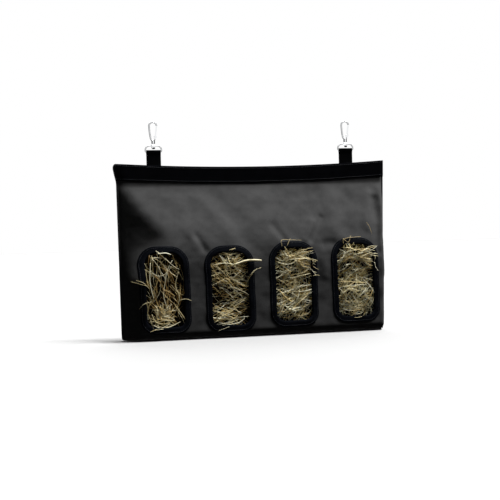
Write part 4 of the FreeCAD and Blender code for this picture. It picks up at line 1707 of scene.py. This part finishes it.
@dataclass
class Hay:
    """The filling: a matted block, and stalks that lie in each window."""

    form: BagForm
    lays: tuple[HayLay, ...] = (
        HayLay(135, 1.25, 0.75, 11.0, 0.05, 0.95, 101),
        HayLay(240, 0.10, 0.80, 10.0, 0.20, 1.12, 102, 18.0, 7.0),
        HayLay(360, -0.25, 1.25, 8.0, 0.35, 1.30, 103, -6.0, 7.0),
        HayLay(370, -0.20, 1.30, 8.0, 0.40, 1.35, 104, -10.0, 7.0),
    )
    bed_depth: float = 41.5
    crown: float = 4.4
    tuck_inset: float = 9.0
    tuck_ease: float = 4.0
    tuck_behind: float = 2.4
    bed_inset: float = 13.0
    bed_step: float = 6.0
    smallest: float = 0.55
    largest: float = 1.25
    block_cells: tuple[int, int] = (84, 34)
    block_margin: float = 4.0
    block_behind: float = 3.5

    def _bed(self, window: Window, lay: HayLay) -> Piece:
        """Return the lumpy face that the stalks of one window lie on.

        Args:
            window: the window.
            lay: how its hay lies.

        Returns:
            The bed, which the stalks grow from.
        """
        outer = window.outline(self.bed_inset, self.bed_step)
        centre = outer.mean(axis=0)
        shares = np.linspace(1.0, 0.0, 8)[:-1]
        points, faces = [], []
        count = len(outer)
        for share in shares:
            ring = centre + (outer - centre) * share
            lump = 1.1 * ripple(ring[:, 0], ring[:, 1], 26.0, 70 + window.index)
            pinched = np.exp(-((ring[:, 1] - window.drop - lay.pinch_drop) / 8.0) ** 2)
            depth = self.bed_depth + self.crown * (1.0 - share ** 2) + lump - lay.pinch * pinched
            points += np.stack([ring[:, 0], -depth, self.form.top - ring[:, 1]], axis=1).tolist()
        points.append([centre[0], -(self.bed_depth + self.crown), self.form.top - centre[1]])
        for k in range(len(shares) - 1):
            for j in range(count):
                a, b = k * count + j, k * count + (j + 1) % count
                faces.append((a, b, b + count, a + count))
        last = (len(shares) - 1) * count
        faces += [(last + j, last + (j + 1) % count, len(points) - 1) for j in range(count)]
        return mesh_object(f"hay_bed_{window.index}", np.array(points), faces)

    def _core(self, finishes: Finishes) -> None:
        """Make the matted block behind the windows, in the finish that is painted dark as shade.

        Args:
            finishes: every finish of the bag.
        """
        low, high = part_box("hay_core")
        low, high = np.array(low) / MM, np.array(high) / MM
        mesh = bmesh.new()
        columns, rows = self.block_cells
        bmesh.ops.create_grid(mesh, x_segments=columns, y_segments=rows, size=1.0)
        places = np.array([vert.co[:2] for vert in mesh.verts])
        cells = [[vert.index for vert in face.verts] for face in mesh.faces]
        mesh.free()
        x = (low[0] + high[0]) / 2 + places[:, 0] * (high[0] - low[0] - self.block_margin) / 2
        z = (low[2] + high[2]) / 2 + places[:, 1] * (high[2] - low[2] - self.block_margin) / 2
        edge = np.minimum(1.0 - np.abs(places[:, 0]), (1.0 - np.abs(places[:, 1])) * 0.4)
        swell = np.sqrt(np.clip(edge / 0.10, 0.0, 1.0))
        thick = (high[1] - low[1]) - 5.0
        front = low[1] + 3.5 + 2.4 * ripple(x, z, 22.0, 81) + 0.8 * ripple(x, z, 9.0, 82)
        front = high[1] - 1.0 - (high[1] - 1.0 - front) * (0.55 + 0.45 * swell)
        back = np.full_like(x, high[1] - 0.6)
        count = len(x)
        border = np.clip(edge, 0.0, 1.0) <= 1e-6
        faces = [list(reversed(cell)) for cell in cells] + [[k + count for k in cell] for cell in cells]
        faces += [[start, end, end + count, start + count] for start, end in open_edges(cells)]
        front = np.where(border, np.minimum(front, high[1] - thick * 0.6), front)
        front = np.maximum(front, self.block_behind - self.form.depth(x, self.form.top - z))
        front = np.minimum(front, back - 0.8)
        points = np.vstack([np.stack([x, front, z], axis=1), np.stack([x, back, z], axis=1)])
        core = mesh_object("hay_block", points, faces)
        outward_faces(core)
        finish_piece(core, "pouch", finishes.core, ["hay_core"])

    def _wisps(self, window: Window) -> tuple[np.ndarray, list[list[int]], list[float]]:
        """Return the listed stalks of one window as points, faces and tones.

        Args:
            window: the window.

        Returns:
            The points, the faces, and a tone for each point.
        """
        points: list[np.ndarray] = []
        faces: list[list[int]] = []
        tones: list[float] = []
        sides = 5
        sprays = [wisp for tuft in TUFTS for wisp in tuft.wisps()]
        for number, wisp in enumerate([*WISPS, *sprays]):
            if wisp.window != window.index:
                continue
            corners = np.array(wisp.places, float)
            line = smooth_line(corners, 5)
            x = window.x + line[:, 0]
            drop = window.drop - line[:, 1]
            base = np.where(window.distance(x, drop, self.tuck_inset) < 0.0, self.form.full - 1.5,
                            self.form.depth(x, drop) + 0.4)
            share = np.linspace(0.0, 1.0, len(line))
            depth = base + wisp.proud + 0.7 * np.sin(share * math.pi)
            path = np.stack([x, -depth, self.form.top - drop], axis=1)
            taper = wisp.radius * (0.45 + 0.55 * np.sin(np.pi * (0.15 + 0.75 * share)))
            tangent = unit(np.gradient(path, axis=0))
            side = unit(np.cross(tangent, np.array([0.0, -1.0, 0.0])))
            up = np.cross(side, tangent)
            start = sum(len(block) for block in points)
            for k in range(sides):
                turn = math.tau * k / sides
                offset = side * math.cos(turn) + up * (0.6 * math.sin(turn))
                points.append(path + offset * taper[:, None])
            faces += swept_faces(sides, len(line), False, start)
            tones += [wisp.tone + 0.05 * math.sin(number)] * (sides * len(line))
        return np.vstack(points), faces, tones

    def build(self, finishes: Finishes) -> None:
        """Fill the bag.

        Args:
            finishes: every finish of the bag.
        """
        self._core(finishes)
        graph = hay_graph()
        for window, lay in zip(self.form.windows, self.lays):
            bed = self._bed(window, lay)
            area = sum(polygon.area for polygon in bed.data.polygons)
            name = f"hay_stalks_{window.index}"
            stalks = graph.grow(name, bed, {
                "Density": lay.stalks / area, "Lean": lay.lean, "Spread": lay.spread,
                "Depth": lay.depth * MM, "Smallest": self.smallest, "Largest": self.largest,
                "Dark": lay.tone_low, "Pale": lay.tone_high, "Seed": lay.seed, "Finish": finishes.hay})
            self._tuck(stalks, window)
            self._add_wisps(stalks, window)
            finish_piece(stalks, "pouch", finishes.hay, [f"hay_tuft_{window.index}"])

    def _tuck(self, stalks: Piece, window: Window) -> None:
        """Press the ends of the strewn stalks in behind the cloth round the window.

        Args:
            stalks: the strewn stalks, which are changed.
            window: the window.
        """
        vertices = stalks.data.vertices
        places = np.empty(len(vertices) * 3, dtype=np.float32)
        vertices.foreach_get("co", places)
        places = places.reshape(-1, 3) / MM
        x, drop = places[:, 0], self.form.top - places[:, 2]
        away = window.distance(x, drop, self.tuck_inset)
        behind = self.tuck_behind - self.form.depth(x, drop)
        share = smoothstep(-self.tuck_ease, 0.0, away)
        places[:, 1] += share * (np.maximum(places[:, 1], behind) - places[:, 1])
        vertices.foreach_set("co", (places * MM).astype(np.float32).reshape(-1))
        stalks.data.update()

    def _add_wisps(self, stalks: Piece, window: Window) -> None:
        """Join the listed stalks to the strewn ones.

        Args:
            stalks: the strewn stalks, which are changed.
            window: the window.
        """
        points, faces, tones = self._wisps(window)
        wisps = mesh_object(f"wisps_{window.index}", points, faces)
        outward_faces(wisps)
        attribute = wisps.data.attributes.new("tone", "FLOAT", "POINT")
        attribute.data.foreach_set("value", np.array(tones, dtype=np.float32))
        wisps.data.materials.append(stalks.data.materials[0])
        both = bmesh.new()
        both.from_mesh(stalks.data)
        both.from_mesh(wisps.data)
        both.to_mesh(stalks.data)
        both.free()
        bpy.data.objects.remove(wisps)


def smooth_line(corners: np.ndarray, parts: int) -> np.ndarray:
    """Return a smooth line through a few places.

    Args:
        corners: the places.
        parts: how many steps lie between two of them.

    Returns:
        The line's places.
    """
    ends = np.vstack([2 * corners[0] - corners[1], corners, 2 * corners[-1] - corners[-2]])
    line = []
    for k in range(1, len(ends) - 2):
        a, b, c, d = ends[k - 1], ends[k], ends[k + 1], ends[k + 2]
        for share in np.linspace(0.0, 1.0, parts, endpoint=False):
            line.append(0.5 * (2 * b + (c - a) * share + (2 * a - 5 * b + 4 * c - d) * share ** 2
                               + (3 * b - a - 3 * c + d) * share ** 3))
    line.append(corners[-1])
    return np.array(line)


# ---------------------------------------------------------------- tabs and metal

@dataclass
class Tab:
    """A strap of webbing doubled over a D-ring's bar."""

    side: Side
    webbing: float = 1.4
    half_gap: float = 0.76
    loop: float = 2.05
    neck: float = 7.0

    def build(self, finishes: Finishes) -> None:
        """Sweep the strap over the bar.

        Args:
            finishes: every finish of the bag.
        """
        name = f"tab_{self.side.label}"
        low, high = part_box(name)
        middle, half = (low.x + high.x) / 2 / MM, (high.x - low.x) / 2 / MM
        top, foot = high.z / MM, low.z / MM
        bar = top - self.loop - self.webbing / 2
        legs = np.linspace(foot + 0.2, bar - self.neck, 12)
        bend = np.linspace(0.0, 1.0, 7)[1:]
        rise = bar - self.neck + self.neck * bend
        back = [(self.half_gap, z) for z in legs]
        back += [(self.half_gap + (self.loop - self.half_gap) * b * b * (3 - 2 * b), z)
                 for b, z in zip(bend, rise)]
        arc = [(self.loop * math.cos(turn), bar + self.loop * math.sin(turn))
               for turn in np.linspace(0.0, math.pi, 15)[1:-1]]
        path = np.array(back + arc + [(-y, z) for y, z in reversed(back)])
        tangent = unit(np.gradient(path, axis=0))
        normal = np.stack([tangent[:, 1], -tangent[:, 0]], axis=1)
        run = np.concatenate([[0.0], np.cumsum(np.hypot(*np.diff(path, axis=0).T))])
        section = self._section(half)
        points, strip = [], []
        for across, height in section:
            place = path + normal * height
            points.append(np.stack([np.full(len(path), middle + across), place[:, 0], place[:, 1]], axis=1))
            strip.append(np.stack([run, np.full(len(path), across)], axis=1))
        piece = mesh_object(f"strap_{self.side.label}", np.array(points).reshape(-1, 3),
                            swept_faces(len(section), len(path), False))
        outward_faces(piece)
        strip_map(piece.data, np.array(strip).reshape(-1, 2))
        finish_piece(piece, "pouch", finishes.webbing, [name])

    def _section(self, half: float) -> list[tuple[float, float]]:
        """Return the strap's section, thinner at its two selvedges.

        Args:
            half: half the strap's width.

        Returns:
            Places round the section.
        """
        thick = self.webbing / 2
        across = np.concatenate([[-half, -half + 0.4, -half + 1.2], np.linspace(-half + 3.0, half - 3.0, 9),
                                 [half - 1.2, half - 0.4, half]])
        height = thick * np.array([0.25, 0.75, 1.0] + [1.0] * 9 + [1.0, 0.75, 0.25])
        upper = list(zip(across, height))
        lower = [(a, -h) for a, h in reversed(upper)]
        return upper + lower


@dataclass
class Hardware:
    """The D-rings, swivels, hooks, gates and pins, which keep their own solids."""

    parts: tuple[str, ...] = ("dring", "swivel_eye", "snap_hook", "snap_gate", "gate_pin")

    def build(self, finishes: Finishes) -> None:
        """Plate every metal piece.

        Args:
            finishes: every finish of the bag.
        """
        for part in self.parts:
            for side in Side:
                node = frame["nodes"][f"{part}_{side.label}"]
                node.data.materials.clear()
                node.data.materials.append(finishes.chrome)
                log.info("%s: plated", node.name)


# ---------------------------------------------------------------- studio

@dataclass
class Studio:
    """A pale floor, soft light and the camera."""

    lens: float = 97.56
    yaw: float = 16.5
    pitch: float = 1.0
    roll: float = -1.55
    target: Triple = (-7.3, 0.0, -221.4)
    distance: float = 2357.0
    key: float = 6.7
    key_from: Triple = (0.40, -0.12, 0.91)
    key_spread: float = 24.0
    back: float = 2.6
    back_from: Triple = (0.30, 0.70, 0.62)
    back_spread: float = 60.0
    floor_tone: float = 0.415
    dimness: float = 0.02
    reach: float = 9000.0
    under: float = 0.3

    def _camera(self) -> None:
        """Stand the camera to the left of the bag, almost level with it."""
        yaw, pitch, roll = (math.radians(angle) for angle in (self.yaw, self.pitch, self.roll))
        forward = Vector((math.sin(yaw) * math.cos(pitch), math.cos(yaw) * math.cos(pitch), -math.sin(pitch)))
        level = Vector((math.cos(yaw), -math.sin(yaw), 0.0))
        upright = level.cross(forward)
        right = level * math.cos(roll) + upright * math.sin(roll)
        up = upright * math.cos(roll) - level * math.sin(roll)
        data = bpy.data.cameras.new("camera")
        data.lens = self.lens
        data.sensor_width = 36.0
        data.clip_end = 50.0
        camera = linked("camera", data)
        place = (Vector(self.target) - forward * self.distance) * MM
        turn = Matrix((right, up, -forward)).transposed().to_4x4()
        camera.matrix_world = Matrix.Translation(place) @ turn
        bpy.context.scene.camera = camera

    def _sun(self, name: str, toward: Triple, strength: float, spread: float) -> None:
        """Add one soft, even light that shines from a direction.

        Args:
            name: the light's name.
            toward: where it shines from.
            strength: its energy.
            spread: the angle that it fills, in degrees.
        """
        data = bpy.data.lights.new(name, "SUN")
        data.energy = strength
        data.angle = math.radians(spread)
        light = linked(name, data)
        light.rotation_euler = Vector(toward).to_track_quat("Z", "Y").to_euler()

    def _floor(self, height: float) -> None:
        """Lay the floor under the bag's foot.

        Args:
            height: the floor's height, in millimetres.
        """
        graph = ShaderGraph("floor_paper")
        graph.set(Base_Color=(*(self.floor_tone,) * 3, 1.0), Roughness=0.9, Specular_IOR_Level=0.1)
        reach = self.reach
        points = np.array([(-reach, -reach, height), (reach, -reach, height),
                           (reach, reach, height), (-reach, reach, height)])
        floor = mesh_object("floor", points, [(0, 1, 2, 3)])
        floor.data.materials.append(graph.material)
        floor.visible_diffuse = False
        floor.visible_glossy = False

    def _world(self) -> None:
        """Surround the set with white for the eye, a studio for the metal and little for the cloth."""
        world = bpy.data.worlds.new("studio")
        world.use_nodes = True
        bpy.context.scene.world = world
        nodes, links = world.node_tree.nodes, world.node_tree.links
        nodes.clear()
        output = nodes.new("ShaderNodeOutputWorld")
        ray = nodes.new("ShaderNodeLightPath")
        seen, dim, gloss = (nodes.new("ShaderNodeBackground") for _ in range(3))
        for background, strength in ((seen, 1.0), (dim, self.dimness), (gloss, 1.0)):
            background.inputs["Color"].default_value = (1.0, 1.0, 1.0, 1.0)
            background.inputs["Strength"].default_value = strength
        place = nodes.new("ShaderNodeTexCoord")
        split = nodes.new("ShaderNodeSeparateXYZ")
        level = nodes.new("ShaderNodeMath")
        level.operation = "ABSOLUTE"
        overhead = nodes.new("ShaderNodeMath")
        overhead.operation = "MAXIMUM"
        ramp = nodes.new("ShaderNodeValToRGB")
        ramp.color_ramp.elements[0].position = 0.58
        ramp.color_ramp.elements[0].color = (0.02, 0.02, 0.022, 1.0)
        ramp.color_ramp.elements[1].position = 0.88
        ramp.color_ramp.elements[1].color = (1.0, 1.0, 1.0, 1.0)
        links.new(place.outputs["Generated"], split.inputs[0])
        links.new(split.outputs[1], level.inputs[0])
        links.new(level.outputs[0], overhead.inputs[0])
        links.new(split.outputs[2], overhead.inputs[1])
        links.new(overhead.outputs[0], ramp.inputs[0])
        links.new(ramp.outputs["Color"], gloss.inputs["Color"])
        first, second = nodes.new("ShaderNodeMixShader"), nodes.new("ShaderNodeMixShader")
        links.new(ray.outputs["Is Glossy Ray"], first.inputs[0])
        links.new(dim.outputs[0], first.inputs[1])
        links.new(gloss.outputs[0], first.inputs[2])
        links.new(ray.outputs["Is Camera Ray"], second.inputs[0])
        links.new(first.outputs[0], second.inputs[1])
        links.new(seen.outputs[0], second.inputs[2])
        links.new(second.outputs[0], output.inputs["Surface"])

    def build(self, form: BagForm) -> None:
        """Set the stage.

        Args:
            form: the bag's form.
        """
        self._camera()
        self._sun("key_light", self.key_from, self.key, self.key_spread)
        self._sun("back_light", self.back_from, self.back, self.back_spread)
        self._floor(form.top - form.height - self.under)
        self._world()
        bpy.context.scene.view_settings.view_transform = "Standard"


def bag_form() -> BagForm:
    """Return the bag's form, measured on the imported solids."""
    band_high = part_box("top_band_front")[1]
    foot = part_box("back_panel")[0].z / MM
    top = band_high.z / MM
    front = -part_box("front_panel_lower")[0].y / MM
    hinge = next(joint for joint in frame["joints"] if joint["name"] == "mouth_open")
    fold = hinge["pos_m"][2] / MM
    windows = []
    for index in range(1, 5):
        low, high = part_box(f"window_binding_{index}")
        middle = (low.z + high.z) / 2 / MM + WINDOW_RISE[index - 1]
        windows.append(Window(index, (low.x + high.x) / 2 / MM, top - middle,
                              (high.x - low.x) / 2 / MM, (high.z - low.z) / 2 / MM))
    return BagForm(top=top, half_width=band_high.x / MM, height=top - foot, full=front,
                   fold_drop=top - fold, windows=tuple(windows))


def main() -> None:
    """Build the bag from its cloth outwards, then its metal and the studio."""
    logging.basicConfig(level=logging.INFO, format="%(name)s %(message)s")
    finishes = Finishes.make()
    form = bag_form()
    grid = ClothGrid(form)
    FrontCloth(form, grid).build(finishes)
    MouthBand(form, grid).build(finishes)
    BackCloth(form).build(finishes)
    for window in form.windows:
        WindowBinding(form, window).build(finishes)
    Hay(form).build(finishes)
    for side in Side:
        Tab(side).build(finishes)
    Hardware().build(finishes)
    Stitching(form, grid).build(finishes)
    Studio().build(form)


if __name__ == "__main__":
    main()
